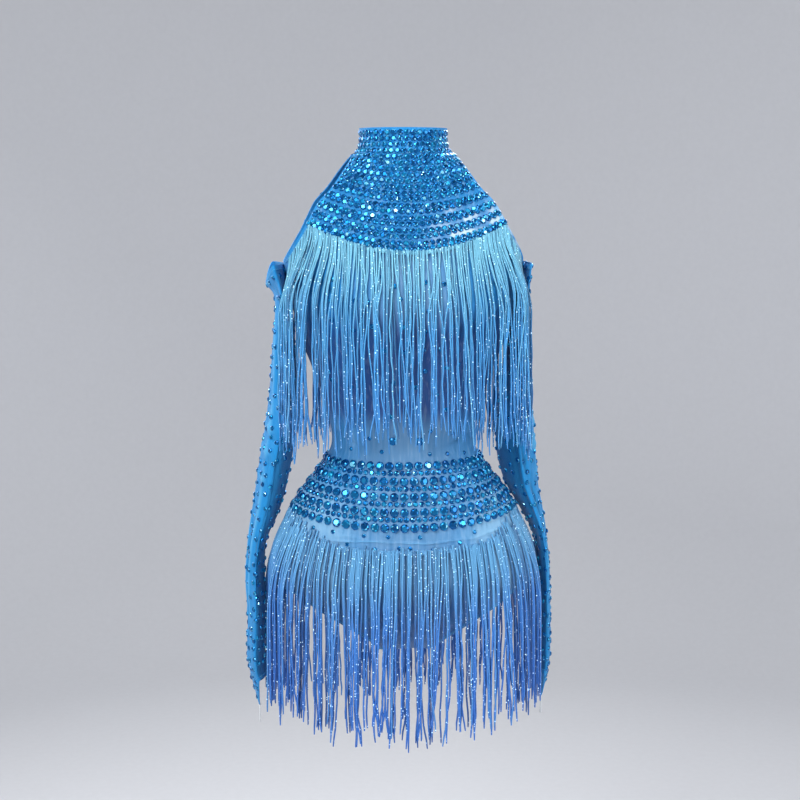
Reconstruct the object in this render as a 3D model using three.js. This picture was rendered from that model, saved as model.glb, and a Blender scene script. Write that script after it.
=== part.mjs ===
// Fringed stage bodysuit with a high stand collar, halter shoulders and detached-cap long sleeves.
// It keeps the hollow form that it has when worn. Millimetres, +Z up, the front faces -Y, +X is the
// wearer's left. The origin is the middle of the neck at the seam between collar and bodice.
import * as THREE from "three";

// Cloth and seams
const CLOTH = 1.5; // stretch mesh with its lining and the glue behind the stones
const SLEEVE_CLOTH = 1.2;
const SEAM_GAP = 0.4; // between two pieces that are sewn edge to edge
const CLOSURE_GAP = 1.6; // between the two ends of the collar

// Belt of large stones: raised rows around the hips, each this far from the next
const BELT = { rows: 5, topZ: -393, sidePitch: 15.8, centrePitch: 19.2, raise: 2.6 };

// Keyhole in the upper back
const KEYHOLE = { topZ: -6, bottomZ: -118, half: 30 };

// Fringes: a narrow strip laid on the cloth and strands that hang from its lower edge. stations are
// the shares of a strand's length where it may bend.
const STRIP = { gap: 0.4, thick: 3, height: 7 };
const STRAND = { width: 2.4, clearance: 2, samples: 60, uneven: 22, sway: 1.2 };
const CHEST_LINE = { edgeX: 123, centreZ: -125, rise: 31, length: 226, sideExtra: 48 };
Object.assign(CHEST_LINE, { spread: 27, spreadOver: 95, stations: [0, 0.13, 0.34, 1] });
const HIP_LINE = { centreZ: -501, rise: 30, length: 238, sideExtra: 0, stations: [0, 0.12, 0.32, 1] };
const FRINGES = [
  { name: "chest_fringe_front", face: "front", line: CHEST_LINE, strands: 48 },
  { name: "chest_fringe_back", face: "back", line: CHEST_LINE, strands: 36 },
  { name: "hip_fringe_front", face: "front", line: HIP_LINE, strands: 54 },
  { name: "hip_fringe_back", face: "back", line: HIP_LINE, strands: 46 },
];

// The worn form, from the top of the collar to the crotch seam. half is the half width at the side
// line y = 0, front and back are the depths of centre front and centre back, cup is how far the bust
// cups stand out, frontEdge and backEdge are the half widths of the cloth itself.
const FORM = [
  { z: 28, half: 55.5, front: 50, back: 58, cup: 0, frontEdge: 55.5, backEdge: 55.5 },
  { z: 14, half: 54.5, front: 50, back: 59, cup: 0, frontEdge: 54.5, backEdge: 54.5 },
  { z: 0, half: 59, front: 54, back: 63, cup: 0, frontEdge: 59, backEdge: 59 },
  { z: -9, half: 76, front: 55, back: 67, cup: 0, frontEdge: 67, backEdge: 68 },
  { z: -26, half: 108, front: 57, back: 75, cup: 0, frontEdge: 79, backEdge: 81 },
  { z: -46, half: 148, front: 61, back: 83, cup: 0, frontEdge: 93, backEdge: 95 },
  { z: -64, half: 174, front: 67, back: 89, cup: 0, frontEdge: 110, backEdge: 111 },
  { z: -83, half: 182, front: 75, back: 93, cup: 0, frontEdge: 121, backEdge: 121 },
  { z: -101, half: 177, front: 83, back: 94, cup: 1, frontEdge: 131, backEdge: 130 },
  { z: -121, half: 166, front: 92, back: 93, cup: 3, frontEdge: 143, backEdge: 142 },
  { z: -134, half: 157.5, front: 96, back: 92, cup: 5, frontEdge: 150.5, backEdge: 150 },
  { z: -142, half: 153, front: 99, back: 91, cup: 6, frontEdge: 153, backEdge: 153 },
  { z: -170, half: 147.5, front: 105, back: 88, cup: 10, frontEdge: 147.5, backEdge: 147.5 },
  { z: -202, half: 141, front: 108, back: 84, cup: 12, frontEdge: 141, backEdge: 141 },
  { z: -238, half: 132, front: 104, back: 79, cup: 8, frontEdge: 132, backEdge: 132 },
  { z: -275, half: 118, front: 94, back: 73, cup: 2, frontEdge: 118, backEdge: 118 },
  { z: -318, half: 102, front: 83, back: 67, cup: 0, frontEdge: 102, backEdge: 102 },
  { z: -364, half: 93, front: 77, back: 65, cup: 0, frontEdge: 93, backEdge: 93 },
  { z: -388, half: 98, front: 79, back: 70, cup: 0, frontEdge: 98, backEdge: 98 },
  { z: -413, half: 114, front: 83, back: 79, cup: 0, frontEdge: 114, backEdge: 114 },
  { z: -442, half: 136, front: 88, back: 93, cup: 0, frontEdge: 136, backEdge: 136 },
  { z: -468, half: 150, front: 92, back: 104, cup: 0, frontEdge: 150, backEdge: 150 },
  { z: -500, half: 166, front: 96, back: 113, cup: 0, frontEdge: 166, backEdge: 166 },
  { z: -530, half: 174, front: 97, back: 116, cup: 0, frontEdge: 174, backEdge: 174 },
  { z: -550, half: 176, front: 96, back: 114, cup: 0, frontEdge: 176, backEdge: 176 },
  { z: -562, half: 176, front: 94, back: 111, cup: 0, frontEdge: 142, backEdge: 156 },
  { z: -580, half: 176, front: 90, back: 105, cup: 0, frontEdge: 114, backEdge: 135 },
  { z: -602, half: 174, front: 80, back: 93, cup: 0, frontEdge: 78, backEdge: 106 },
  { z: -624, half: 170, front: 63, back: 74, cup: 0, frontEdge: 49, backEdge: 72 },
  { z: -640, half: 168, front: 40, back: 48, cup: 0, frontEdge: 37, backEdge: 46 },
  { z: -648, half: 168, front: 18, back: 22, cup: 0, frontEdge: 33, backEdge: 35 },
  { z: -650, half: 168, front: 0, back: 0, cup: 0, frontEdge: 33, backEdge: 33 },
];
const CUP = { centreX: 66, width: 44 };
const COLLAR_ROWS = [0, 0.5, 1, 1.5, 1.97]; // row numbers of FORM
const BODICE_TOP_ROW = 2;
const BELT_TOP_ROW = 18;
const BELT_BOTTOM_ROW = 22;
const LEG_ROW = 24; // where the side seam ends and the leg line starts

// Sleeves hang empty beside the body, as flattened tubes with a fold along the front and the back.
// inner and outer are the distances of the two faces from the middle plane, y and halfY the middle and
// half depth of the tube, point how far the outer face reaches below the inner one: at the top, where
// the cap flares off the shoulder, and at the hand, where it covers the back of the fingers.
const SLEEVE_RIGHT = [
  { z: -142.2, inner: 152.9, outer: 180, y: 8, halfY: 50, point: 24 },
  { z: -154, inner: 150.6, outer: 176.5, y: 8, halfY: 49, point: 18 },
  { z: -170, inner: 147.6, outer: 169, y: 8, halfY: 48, point: 10 },
  { z: -188, inner: 145.5, outer: 165.5, y: 8, halfY: 47, point: 3 },
  { z: -206, inner: 143, outer: 165, y: 8, halfY: 46, point: 0 },
  { z: -253, inner: 139, outer: 169, y: 8, halfY: 45, point: 0 },
  { z: -300, inner: 136, outer: 172.5, y: 8, halfY: 43, point: 0 },
  { z: -344, inner: 138, outer: 178, y: 10, halfY: 42, point: 0 },
  { z: -388, inner: 143.5, outer: 185.5, y: 12, halfY: 41, point: 0 },
  { z: -432, inner: 152, outer: 192, y: 16, halfY: 39, point: 0 },
  { z: -470, inner: 163, outer: 197, y: 21, halfY: 37, point: 0 },
  { z: -510, inner: 179.5, outer: 202.5, y: 26, halfY: 36, point: 0 },
  { z: -556, inner: 182, outer: 206, y: 28, halfY: 35, point: 0 },
  { z: -604, inner: 182, outer: 205, y: 28, halfY: 34, point: 0 },
  { z: -654, inner: 183, outer: 207, y: 28, halfY: 34, point: 0 },
  { z: -680, inner: 182.5, outer: 205, y: 28, halfY: 33, point: 7 },
  { z: -692, inner: 181.8, outer: 199, y: 28, halfY: 30, point: 43 },
];
const SLEEVE_LEFT = [
  { z: -142.2, inner: 153.1, outer: 165.5, y: 8, halfY: 50, point: 0 },
  { z: -170, inner: 147.8, outer: 164.5, y: 8, halfY: 49, point: 0 },
  { z: -206, inner: 142, outer: 163.5, y: 8, halfY: 47, point: 0 },
  { z: -253, inner: 136, outer: 164.5, y: 8, halfY: 45, point: 0 },
  { z: -300, inner: 130, outer: 168, y: 9, halfY: 43, point: 0 },
  { z: -344, inner: 125, outer: 172, y: 12, halfY: 42, point: 0 },
  { z: -388, inner: 125, outer: 176.5, y: 15, halfY: 41, point: 0 },
  { z: -432, inner: 137, outer: 181.5, y: 20, halfY: 39, point: 0 },
  { z: -470, inner: 159, outer: 188.5, y: 26, halfY: 37, point: 0 },
  { z: -510, inner: 178.5, outer: 194.5, y: 30, halfY: 36, point: 0 },
  { z: -556, inner: 181.5, outer: 200, y: 32, halfY: 35, point: 0 },
  { z: -604, inner: 182, outer: 202.5, y: 32, halfY: 34, point: 0 },
  { z: -654, inner: 182, outer: 203.5, y: 32, halfY: 34, point: 0 },
  { z: -682, inner: 182, outer: 202.5, y: 32, halfY: 33, point: 7 },
  { z: -694, inner: 181.8, outer: 199, y: 32, halfY: 30, point: 41 },
];
const SLEEVE_FOLD = 1.5; // superellipse exponent of the section: 2 is round, 1 a diamond
const SLEEVE_COLUMNS = 14;
const POINT_CURL = 0.17; // how far the point turns in for each millimetre that it reaches down
const LOOP = { radius: 0.8, halfWidth: 6, drop: 24, endsApart: 2.6, gap: 0.1, sides: 5, steps: 12 };

// Hook-and-eye closures on the collar's ends
const CLOSURE = { length: 9, height: 3.6, thick: 1, gap: 0.5, upperZ: 20, lowerZ: 8 };

// Columns of a table as smooth curves over the row number.
class Sections {
  constructor(rows) {
    const numbers = rows.map((row, index) => index);
    this.last = rows.length - 1;
    this.curves = {};
    for (const column of Object.keys(rows[0])) {
      const values = rows.map((row) => row[column]);
      this.curves[column] = new THREE.CubicInterpolant(numbers, values, 1);
    }
  }

  at(column, row) {
    return this.curves[column].evaluate(THREE.MathUtils.clamp(row, 0, this.last))[0];
  }

  // The row number at a height, as z falls from each row to the next.
  rowAt(z) {
    let above = 0;
    let below = this.last;
    for (let halvings = 0; halvings < 40; halvings++) {
      const middle = (above + below) / 2;
      if (this.at("z", middle) > z) above = middle;
      else below = middle;
    }
    return (above + below) / 2;
  }
}

const form = new Sections(FORM);

const vector = (x, y, z) => new THREE.Vector3(x, y, z);

// A small number that looks random and is the same on every run.
const scatter = (seed) => {
  const wave = Math.sin(seed * 127.1 + 11.7) * 43758.5453;
  return wave - Math.floor(wave);
};

const powered = (value, power) => Math.sign(value) * Math.abs(value) ** power;

// A point on the outside of the worn form. angle is 0 at centre front or back, 90 degrees at the side.
function skin(face, angle, row) {
  const x = form.at("half", row) * Math.sin(angle);
  const cupShape = Math.exp(-(((Math.abs(x) - CUP.centreX) / CUP.width) ** 2));
  const cup = face === "front" ? form.at("cup", row) * cupShape : 0;
  const depth = (form.at(face, row) + cup) * Math.cos(angle) + SEAM_GAP / 2;
  return vector(x, face === "front" ? -depth : depth, form.at("z", row));
}

function skinNormal(face, angle, row) {
  const step = 0.002;
  const across = skin(face, angle + step, row).sub(skin(face, angle - step, row));
  const lower = skin(face, angle, Math.min(row + step, form.last));
  const down = lower.sub(skin(face, angle, Math.max(row - step, 0)));
  const normal = down.cross(across).normalize();
  return face === "front" ? normal : normal.negate();
}

// Half width of the cloth at a row, as an angle on the form.
function reach(face, row) {
  const edge = form.at(face + "Edge", row);
  return Math.asin(Math.min(1, edge / form.at("half", row)));
}

function angleAtX(x, row) {
  return Math.asin(THREE.MathUtils.clamp(x / form.at("half", row), -1, 1));
}

// A mesh's geometry from points and triangles, turned so that its faces point out.
function closedGeometry(points, triangles) {
  let volume = 0;
  for (const [a, b, c] of triangles)
    volume += points[a].dot(points[b].clone().cross(points[c]));
  const turned = volume < 0 ? triangles.map(([a, b, c]) => [a, c, b]) : triangles;
  const geometry = new THREE.BufferGeometry().setFromPoints(points);
  return geometry.setIndex(turned.flat());
}

// A wall between two grids of points. A wrapped grid closes on itself from its last column to its first.
function wallGeometry(outer, inner, wrapped = false) {
  const rows = outer.length;
  const columns = outer[0].length;
  const points = [...outer.flat(), ...inner.flat()];
  const triangles = [];
  const index = (layer, row, column) => (layer * rows + row) * columns + (column % columns);
  const quad = (a, b, c, d) => triangles.push([a, b, c], [a, c, d]);
  const spans = wrapped ? columns : columns - 1;
  for (let row = 0; row + 1 < rows; row++)
    for (let column = 0; column < spans; column++) {
      const corners = [[row, column], [row + 1, column], [row + 1, column + 1], [row, column + 1]];
      quad(...corners.map(([r, c]) => index(0, r, c)));
      quad(...corners.map(([r, c]) => index(1, r, c)).reverse());
    }
  const end = rows - 1;
  for (let column = 0; column < spans; column++) {
    const next = column + 1;
    quad(index(0, 0, column), index(0, 0, next), index(1, 0, next), index(1, 0, column));
    quad(index(0, end, next), index(0, end, column), index(1, end, column), index(1, end, next));
  }
  const side = columns - 1;
  for (let row = 0; row + 1 < rows && !wrapped; row++) {
    const next = row + 1;
    quad(index(0, next, 0), index(0, row, 0), index(1, row, 0), index(1, next, 0));
    quad(index(0, row, side), index(0, next, side), index(1, next, side), index(1, row, side));
  }
  return closedGeometry(points, triangles);
}

// A closed tube of a few sides along a line of points.
function tubeGeometry(line, radius, sides) {
  const points = [];
  const triangles = [];
  line.forEach((middle, ring) => {
    const ahead = line[Math.min(ring + 1, line.length - 1)].clone();
    const along = ahead.sub(line[Math.max(ring - 1, 0)]).normalize();
    const reference = Math.abs(along.z) > 0.5 ? vector(0, 1, 0) : vector(0, 0, 1);
    const right = reference.cross(along).normalize();
    const up = along.clone().cross(right);
    for (let side = 0; side < sides; side++) {
      const turn = ((side + 0.5) / sides) * 2 * Math.PI;
      const offset = right.clone().multiplyScalar(Math.cos(turn) * radius);
      points.push(middle.clone().add(offset).addScaledVector(up, Math.sin(turn) * radius));
    }
  });
  for (let ring = 0; ring + 1 < line.length; ring++)
    for (let side = 0; side < sides; side++) {
      const here = ring * sides + side;
      const beside = ring * sides + ((side + 1) % sides);
      triangles.push([here, beside, beside + sides], [here, beside + sides, here + sides]);
    }
  const last = (line.length - 1) * sides;
  for (let side = 1; side + 1 < sides; side++) {
    triangles.push([0, side + 1, side]);
    triangles.push([last, last + side, last + side + 1]);
  }
  return closedGeometry(points, triangles);
}

// Rows of the bodice walls, as row numbers of FORM. Belt rows hang lower at centre front and back.
function bodiceRows() {
  const rows = [];
  const plain = (row) => rows.push({ row, drop: 0, raise: 0 });
  for (let row = BODICE_TOP_ROW; row < BELT_TOP_ROW; row++) plain(row);
  for (let half = -1; half <= 2 * BELT.rows - 1; half++) {
    const z = BELT.topZ - (half / 2) * BELT.sidePitch;
    const drop = Math.max(0, half / 2) * (BELT.centrePitch - BELT.sidePitch);
    rows.push({ row: form.rowAt(z), drop, raise: half % 2 === 0 ? BELT.raise : 0 });
  }
  for (let row = BELT_BOTTOM_ROW; row <= form.last; row++) plain(row);
  return rows;
}

const BODICE_ROWS = bodiceRows();

const keyholeHalf = (z) => {
  const share = (KEYHOLE.topZ - z) / (KEYHOLE.topZ - KEYHOLE.bottomZ);
  return share <= 0 || share >= 1 ? 0 : KEYHOLE.half * Math.sin(Math.PI * share) ** 0.75;
};

// A panel of the bodice. shareToAngle turns a share of the panel's width, 0 to 1, into an angle.
function panelGeometry(face, columns, shareToAngle) {
  const outer = [];
  const inner = [];
  for (const { row, drop, raise } of BODICE_ROWS) {
    const outerRow = [];
    const innerRow = [];
    for (let column = 0; column <= columns; column++) {
      const angle = shareToAngle(column / columns, row);
      const z = form.at("z", row) - drop * Math.cos(angle) ** 2;
      const lowered = drop === 0 ? row : form.rowAt(z);
      const point = skin(face, angle, lowered);
      const normal = skinNormal(face, angle, lowered);
      outerRow.push(point.clone().addScaledVector(normal, raise));
      innerRow.push(point.addScaledVector(normal, -CLOTH));
    }
    outer.push(outerRow);
    inner.push(innerRow);
  }
  return wallGeometry(outer, inner);
}

const frontGeometry = () =>
  panelGeometry("front", 16, (share, row) => (2 * share - 1) * reach("front", row));

// The back is cut in two at the centre seam, which opens into the keyhole between the shoulders.
function backGeometry(sign) {
  return panelGeometry("back", 8, (share, row) => {
    const start = angleAtX(Math.max(SEAM_GAP / 2, keyholeHalf(form.at("z", row))), row);
    return sign * THREE.MathUtils.lerp(start, reach("back", row), share);
  });
}

// The collar runs round the neck from one end at centre back to the other.
function collarGeometry() {
  const columns = 30;
  const end = Math.PI - angleAtX(CLOSURE_GAP / 2, 0);
  const outer = [];
  const inner = [];
  for (const row of COLLAR_ROWS) {
    const ring = [];
    for (let column = 0; column <= columns; column++) {
      const turn = ((2 * column) / columns - 1) * end;
      const inFront = Math.abs(turn) <= Math.PI / 2;
      const face = inFront ? "front" : "back";
      const angle = inFront ? turn : Math.sign(turn) * (Math.PI - Math.abs(turn));
      ring.push({ point: skin(face, angle, row), normal: skinNormal(face, angle, row) });
    }
    outer.push(ring.map(({ point }) => point));
    inner.push(ring.map(({ point, normal }) => point.clone().addScaledVector(normal, -CLOTH)));
  }
  return wallGeometry(outer, inner);
}

// A closure is a short metal bar across the gap between the collar's ends.
function closureGeometry(z) {
  const face = form.at("back", form.rowAt(z)) + SEAM_GAP / 2 + CLOSURE.gap;
  const geometry = new THREE.BoxGeometry(CLOSURE.length, CLOSURE.thick, CLOSURE.height);
  return geometry.translate(0, face + CLOSURE.thick / 2, z);
}

function sleeveGeometry(table, sign) {
  const sections = new Sections(table);
  const layer = (inset) => {
    const grid = [];
    for (let row = 0; row <= sections.last; row++) {
      const ring = [];
      const outerFace = sections.at("outer", row);
      const innerFace = sections.at("inner", row);
      const halfX = (outerFace - innerFace) / 2 - inset;
      const halfY = sections.at("halfY", row) - 2 * inset;
      for (let column = 0; column < SLEEVE_COLUMNS; column++) {
        const turn = (column / SLEEVE_COLUMNS) * 2 * Math.PI;
        const across = halfX * powered(Math.cos(turn), 2 / SLEEVE_FOLD);
        const along = halfY * powered(Math.sin(turn), 2 / SLEEVE_FOLD);
        const dip = sections.at("point", row) * Math.max(0, Math.cos(turn)) ** 2;
        const x = (outerFace + innerFace) / 2 + across - POINT_CURL * dip;
        ring.push(vector(sign * x, sections.at("y", row) + along, sections.at("z", row) - dip));
      }
      grid.push(ring);
    }
    return grid;
  };
  return wallGeometry(layer(0), layer(SLEEVE_CLOTH), true);
}

// The finger loop is a short elastic that hangs from the sleeve's point.
function loopGeometry(table, sign) {
  const hand = table[table.length - 1];
  const x = hand.outer - POINT_CURL * hand.point - SLEEVE_CLOTH / 2;
  const topZ = hand.z - hand.point - LOOP.gap;
  const line = [];
  for (let step = 0; step <= LOOP.steps; step++) {
    const share = step / LOOP.steps;
    const turn = share * 2 * Math.PI;
    const swing = -LOOP.halfWidth * Math.sin(turn) * Math.sin(turn / 2);
    const y = hand.y + swing + (share - 0.5) * LOOP.endsApart;
    line.push(vector(sign * x, y, topZ - (LOOP.drop / 2) * (1 - Math.cos(turn))));
  }
  return tubeGeometry(line, LOOP.radius, LOOP.sides);
}

// Where a fringe is sewn on. share runs from -1 to 1 across the body.
function rootOf({ face, line }, share) {
  const z = line.centreZ + line.rise * share * share;
  const row = form.rowAt(z);
  const fullTurn = Math.PI / 2 - 0.03;
  return { row, angle: line.edgeX ? angleAtX(line.edgeX * share, row) : fullTurn * share };
}

// The four corners of the strip's section: outer top, outer bottom, inner bottom and inner top.
function stripSection(fringe, share) {
  const { row, angle } = rootOf(fringe, share);
  const corner = (lift, offset) => {
    const lifted = form.rowAt(form.at("z", row) + lift);
    const normal = skinNormal(fringe.face, angle, lifted);
    return skin(fringe.face, angle, lifted).addScaledVector(normal, offset);
  };
  const top = STRIP.height / 2;
  const far = STRIP.gap + STRIP.thick;
  return [corner(top, far), corner(-top, far), corner(-top, STRIP.gap), corner(top, STRIP.gap)];
}

// Distances at a strand's few points, each far enough out that the straight run to it clears the
// samples that it passes.
function clearing(samples, stations) {
  const at = stations.map((station) => Math.round(station * (samples.length - 1)));
  const kept = [samples[0]];
  for (let run = 0; run + 1 < at.length; run++) {
    const start = kept[run];
    let end = start;
    for (let index = at[run] + 1; index <= at[run + 1]; index++) {
      const share = (index - at[run]) / (at[run + 1] - at[run]);
      end = Math.max(end, start + (samples[index] - start) / share);
    }
    kept.push(end);
  }
  return kept;
}

// A strand lies on the form as far as the form swells below its root, and then hangs straight down.
// At the chest it slides outwards a little, and on the hips it swings out with the hip in x and y.
function strandLine({ face, line, strands }, number, share) {
  const root = rootOf({ face, line }, share);
  const startZ = form.at("z", root.row) - STRIP.height / 2;
  const lean = Math.abs(skinNormal(face, root.angle, root.row).y);
  const uneven = (scatter(number + strands) - 0.5) * STRAND.uneven;
  const length = line.length + line.sideExtra * share * share + uneven;
  const sway = (scatter(number * 3 + 1) - 0.5) * STRAND.sway;
  const depths = [];
  const widths = [];
  for (let step = 0; step <= STRAND.samples; step++) {
    const z = startZ - (step / STRAND.samples) * length;
    const row = Math.min(form.rowAt(z), LEG_ROW);
    let width = form.at("half", row) + STRAND.clearance;
    let depth = form.at(face, row) + STRAND.clearance;
    if (line.edgeX) {
      const settled = THREE.MathUtils.smoothstep(startZ - z, 0, line.spreadOver);
      width = Math.abs(share) * line.edgeX + line.spread * Math.abs(share) ** 2.5 * settled;
      const angle = angleAtX(width, row);
      depth = Math.abs(skin(face, angle, row).y) + STRAND.clearance / lean;
    }
    depths.push(Math.max(depth, depths[step - 1] ?? 0));
    widths.push(Math.max(width, widths[step - 1] ?? 0));
  }
  const across = line.edgeX ? Math.sign(share) : Math.sin(root.angle);
  const outward = (face === "front" ? -1 : 1) * (line.edgeX ? 1 : Math.cos(root.angle));
  const clearDepths = clearing(depths, line.stations);
  const clearWidths = clearing(widths, line.stations);
  return line.stations.map((station, index) => {
    const x = across * clearWidths[index] + sway * station;
    return vector(x, outward * clearDepths[index], startZ - station * length);
  });
}

// One body: the strip, and a strand of square section that grows out of every second stretch of its
// lower side.
function fringeGeometry(fringe) {
  const columns = 2 * fringe.strands + 1;
  const shareAt = (column) => (2 * column) / columns - 1;
  const points = [];
  const triangles = [];
  const quad = (a, b, c, d) => triangles.push([a, b, c], [a, c, d]);
  const corner = (column, number) => column * 4 + (number % 4);
  for (let column = 0; column <= columns; column++) points.push(...stripSection(fringe, shareAt(column)));
  for (let column = 0; column < columns; column++) {
    const next = column + 1;
    const hasStrand = column % 2 === 1;
    for (let side = 0; side < 4; side++)
      if (side !== 1 || !hasStrand)
        quad(corner(column, side), corner(column, side + 1), corner(next, side + 1), corner(next, side));
    if (!hasStrand) continue;
    let ring = [corner(column, 1), corner(column, 2), corner(next, 2), corner(next, 1)];
    const across = points[ring[2]].clone().sub(points[ring[1]]).setZ(0).setLength(STRAND.width / 2);
    const outward = vector(across.y, -across.x, 0);
    if (fringe.face === "back") outward.negate();
    const line = strandLine(fringe, (column - 1) / 2, shareAt(column + 0.5));
    for (const middle of line.slice(1)) {
      const first = points.length;
      for (const [sideways, out] of [[-1, 1], [-1, -1], [1, -1], [1, 1]])
        points.push(middle.clone().addScaledVector(across, sideways).addScaledVector(outward, out));
      const lower = [0, 1, 2, 3].map((number) => first + number);
      for (let side = 0; side < 4; side++) {
        const beside = (side + 1) % 4;
        quad(ring[side], ring[beside], lower[beside], lower[side]);
      }
      ring = lower;
    }
    quad(...ring);
  }
  quad(corner(0, 3), corner(0, 2), corner(0, 1), corner(0, 0));
  quad(corner(columns, 0), corner(columns, 1), corner(columns, 2), corner(columns, 3));
  return closedGeometry(points, triangles);
}

const meshCloth = new THREE.MeshStandardMaterial({ color: 0x3fa9dc, roughness: 0.65, metalness: 0 });
const tinsel = new THREE.MeshStandardMaterial({ color: 0x2f86e0, roughness: 0.35, metalness: 0.15 });
const elastic = new THREE.MeshStandardMaterial({ color: 0xe9eef0, roughness: 0.6, metalness: 0 });
const nickel = new THREE.MeshStandardMaterial({ color: 0xc4c7ca, roughness: 0.3, metalness: 1 });

const bodysuit = new THREE.Group();

function addPiece(name, geometry, material) {
  const mesh = new THREE.Mesh(geometry, material);
  mesh.name = name;
  bodysuit.add(mesh);
}

addPiece("collar", collarGeometry(), meshCloth);
addPiece("front_body", frontGeometry(), meshCloth);
addPiece("back_body_left", backGeometry(1), meshCloth);
addPiece("back_body_right", backGeometry(-1), meshCloth);
addPiece("sleeve_left", sleeveGeometry(SLEEVE_LEFT, 1), meshCloth);
addPiece("sleeve_right", sleeveGeometry(SLEEVE_RIGHT, -1), meshCloth);
addPiece("finger_loop_left", loopGeometry(SLEEVE_LEFT, 1), elastic);
addPiece("finger_loop_right", loopGeometry(SLEEVE_RIGHT, -1), elastic);
addPiece("closure_upper", closureGeometry(CLOSURE.upperZ), nickel);
addPiece("closure_lower", closureGeometry(CLOSURE.lowerZ), nickel);
for (const fringe of FRINGES) addPiece(fringe.name, fringeGeometry(fringe), tinsel);

export default bodysuit;
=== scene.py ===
"""Looks of the fringed stage bodysuit: mesh cloth, faceted stones, cord fringes and small trims."""
import math

import bpy
import numpy as np
from bpy.props import FloatProperty, FloatVectorProperty, IntProperty, PointerProperty
from mathutils import Matrix, Vector


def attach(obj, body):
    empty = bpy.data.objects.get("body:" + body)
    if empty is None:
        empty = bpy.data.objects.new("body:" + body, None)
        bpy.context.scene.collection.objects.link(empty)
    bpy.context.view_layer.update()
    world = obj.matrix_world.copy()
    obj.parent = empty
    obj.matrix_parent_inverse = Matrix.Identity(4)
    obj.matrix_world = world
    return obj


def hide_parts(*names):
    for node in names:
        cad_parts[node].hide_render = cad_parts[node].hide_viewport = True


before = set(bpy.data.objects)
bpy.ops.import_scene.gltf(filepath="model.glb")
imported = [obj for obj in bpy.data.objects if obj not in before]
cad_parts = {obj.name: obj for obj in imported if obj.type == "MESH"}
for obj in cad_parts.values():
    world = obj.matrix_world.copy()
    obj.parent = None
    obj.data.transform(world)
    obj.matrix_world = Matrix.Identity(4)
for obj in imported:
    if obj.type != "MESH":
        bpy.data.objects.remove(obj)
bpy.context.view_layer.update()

bl_info = {
    "name": "Fringed stage bodysuit",
    "version": (1, 0, 0),
    "blender": (4, 5, 0),
    "location": "View3D > Sidebar > Bodysuit",
    "description": "Dresses the bodysuit's solids in mesh cloth, stones and cord fringe",
    "category": "Add Mesh",
}

MM = 0.001
SEAM = 0.4  # millimetres between two pieces sewn edge to edge
CLOSURE_GAP = 1.6
KEYHOLE = {"top": -6, "bottom": -118, "half": 30}
CUP = {"centre": 66, "width": 44}

# The worn form in millimetres from the collar's top to the crotch: half width, depths of centre front
# and centre back, how far the bust cups stand out, and the half widths of the cloth itself.
FORM_COLUMNS = ("z", "half", "front", "back", "cup", "front_edge", "back_edge")
FORM_ROWS = (
    (28, 55.5, 50, 58, 0, 55.5, 55.5),
    (14, 54.5, 50, 59, 0, 54.5, 54.5),
    (0, 59, 54, 63, 0, 59, 59),
    (-9, 76, 55, 67, 0, 67, 68),
    (-26, 108, 57, 75, 0, 79, 81),
    (-46, 148, 61, 83, 0, 93, 95),
    (-64, 174, 67, 89, 0, 110, 111),
    (-83, 182, 75, 93, 0, 121, 121),
    (-101, 177, 83, 94, 1, 131, 130),
    (-121, 166, 92, 93, 3, 143, 142),
    (-134, 157.5, 96, 92, 5, 150.5, 150),
    (-142, 153, 99, 91, 6, 153, 153),
    (-170, 147.5, 105, 88, 10, 147.5, 147.5),
    (-202, 141, 108, 84, 12, 141, 141),
    (-238, 132, 104, 79, 8, 132, 132),
    (-275, 118, 94, 73, 2, 118, 118),
    (-318, 102, 83, 67, 0, 102, 102),
    (-364, 93, 77, 65, 0, 93, 93),
    (-388, 98, 79, 70, 0, 98, 98),
    (-413, 114, 83, 79, 0, 114, 114),
    (-442, 136, 88, 93, 0, 136, 136),
    (-468, 150, 92, 104, 0, 150, 150),
    (-500, 166, 96, 113, 0, 166, 166),
    (-530, 174, 97, 116, 0, 174, 174),
    (-550, 176, 96, 114, 0, 176, 176),
    (-562, 176, 94, 111, 0, 142, 156),
    (-580, 176, 90, 105, 0, 114, 135),
    (-602, 174, 80, 93, 0, 78, 106),
    (-624, 170, 63, 74, 0, 49, 72),
    (-640, 168, 40, 48, 0, 37, 46),
    (-648, 168, 18, 22, 0, 33, 35),
    (-650, 168, 0, 0, 0, 33, 33),
)
COLLAR_LOW_ROW = 1.97
BODICE_ROW, UNDERARM_ROW, LEG_ROW, LAST_ROW = 2, 11, 24, 31
BODY_CLOTH, SLEEVE_CLOTH = 1.5, 1.2
HEM = {"width": 6.0, "raise": 0.5, "soft": 0.8, "stitch": 5.4, "second_stitch": 3.6}
STITCH = {"pitch": 3.0, "radius": 0.28, "body_lift": 0.75, "sleeve_lift": 0.6}
LOOP = {"half_width": 6, "drop": 24, "ends_apart": 2.6, "radius": 0.75, "knot": 1.7}
HOOK = {"ring": 0.75, "ring_wire": 0.24, "ring_x": 3.4, "ring_z": 0.9, "eye_wire": 0.26, "hook_wire": 0.3}
CAMERA = {
    "target_z": -0.32,
    "distance": 2.0,
    "azimuth": -5,
    "elevation": 8,
    "lens": 69.2,
    "shift_x": -0.004,
}

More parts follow.
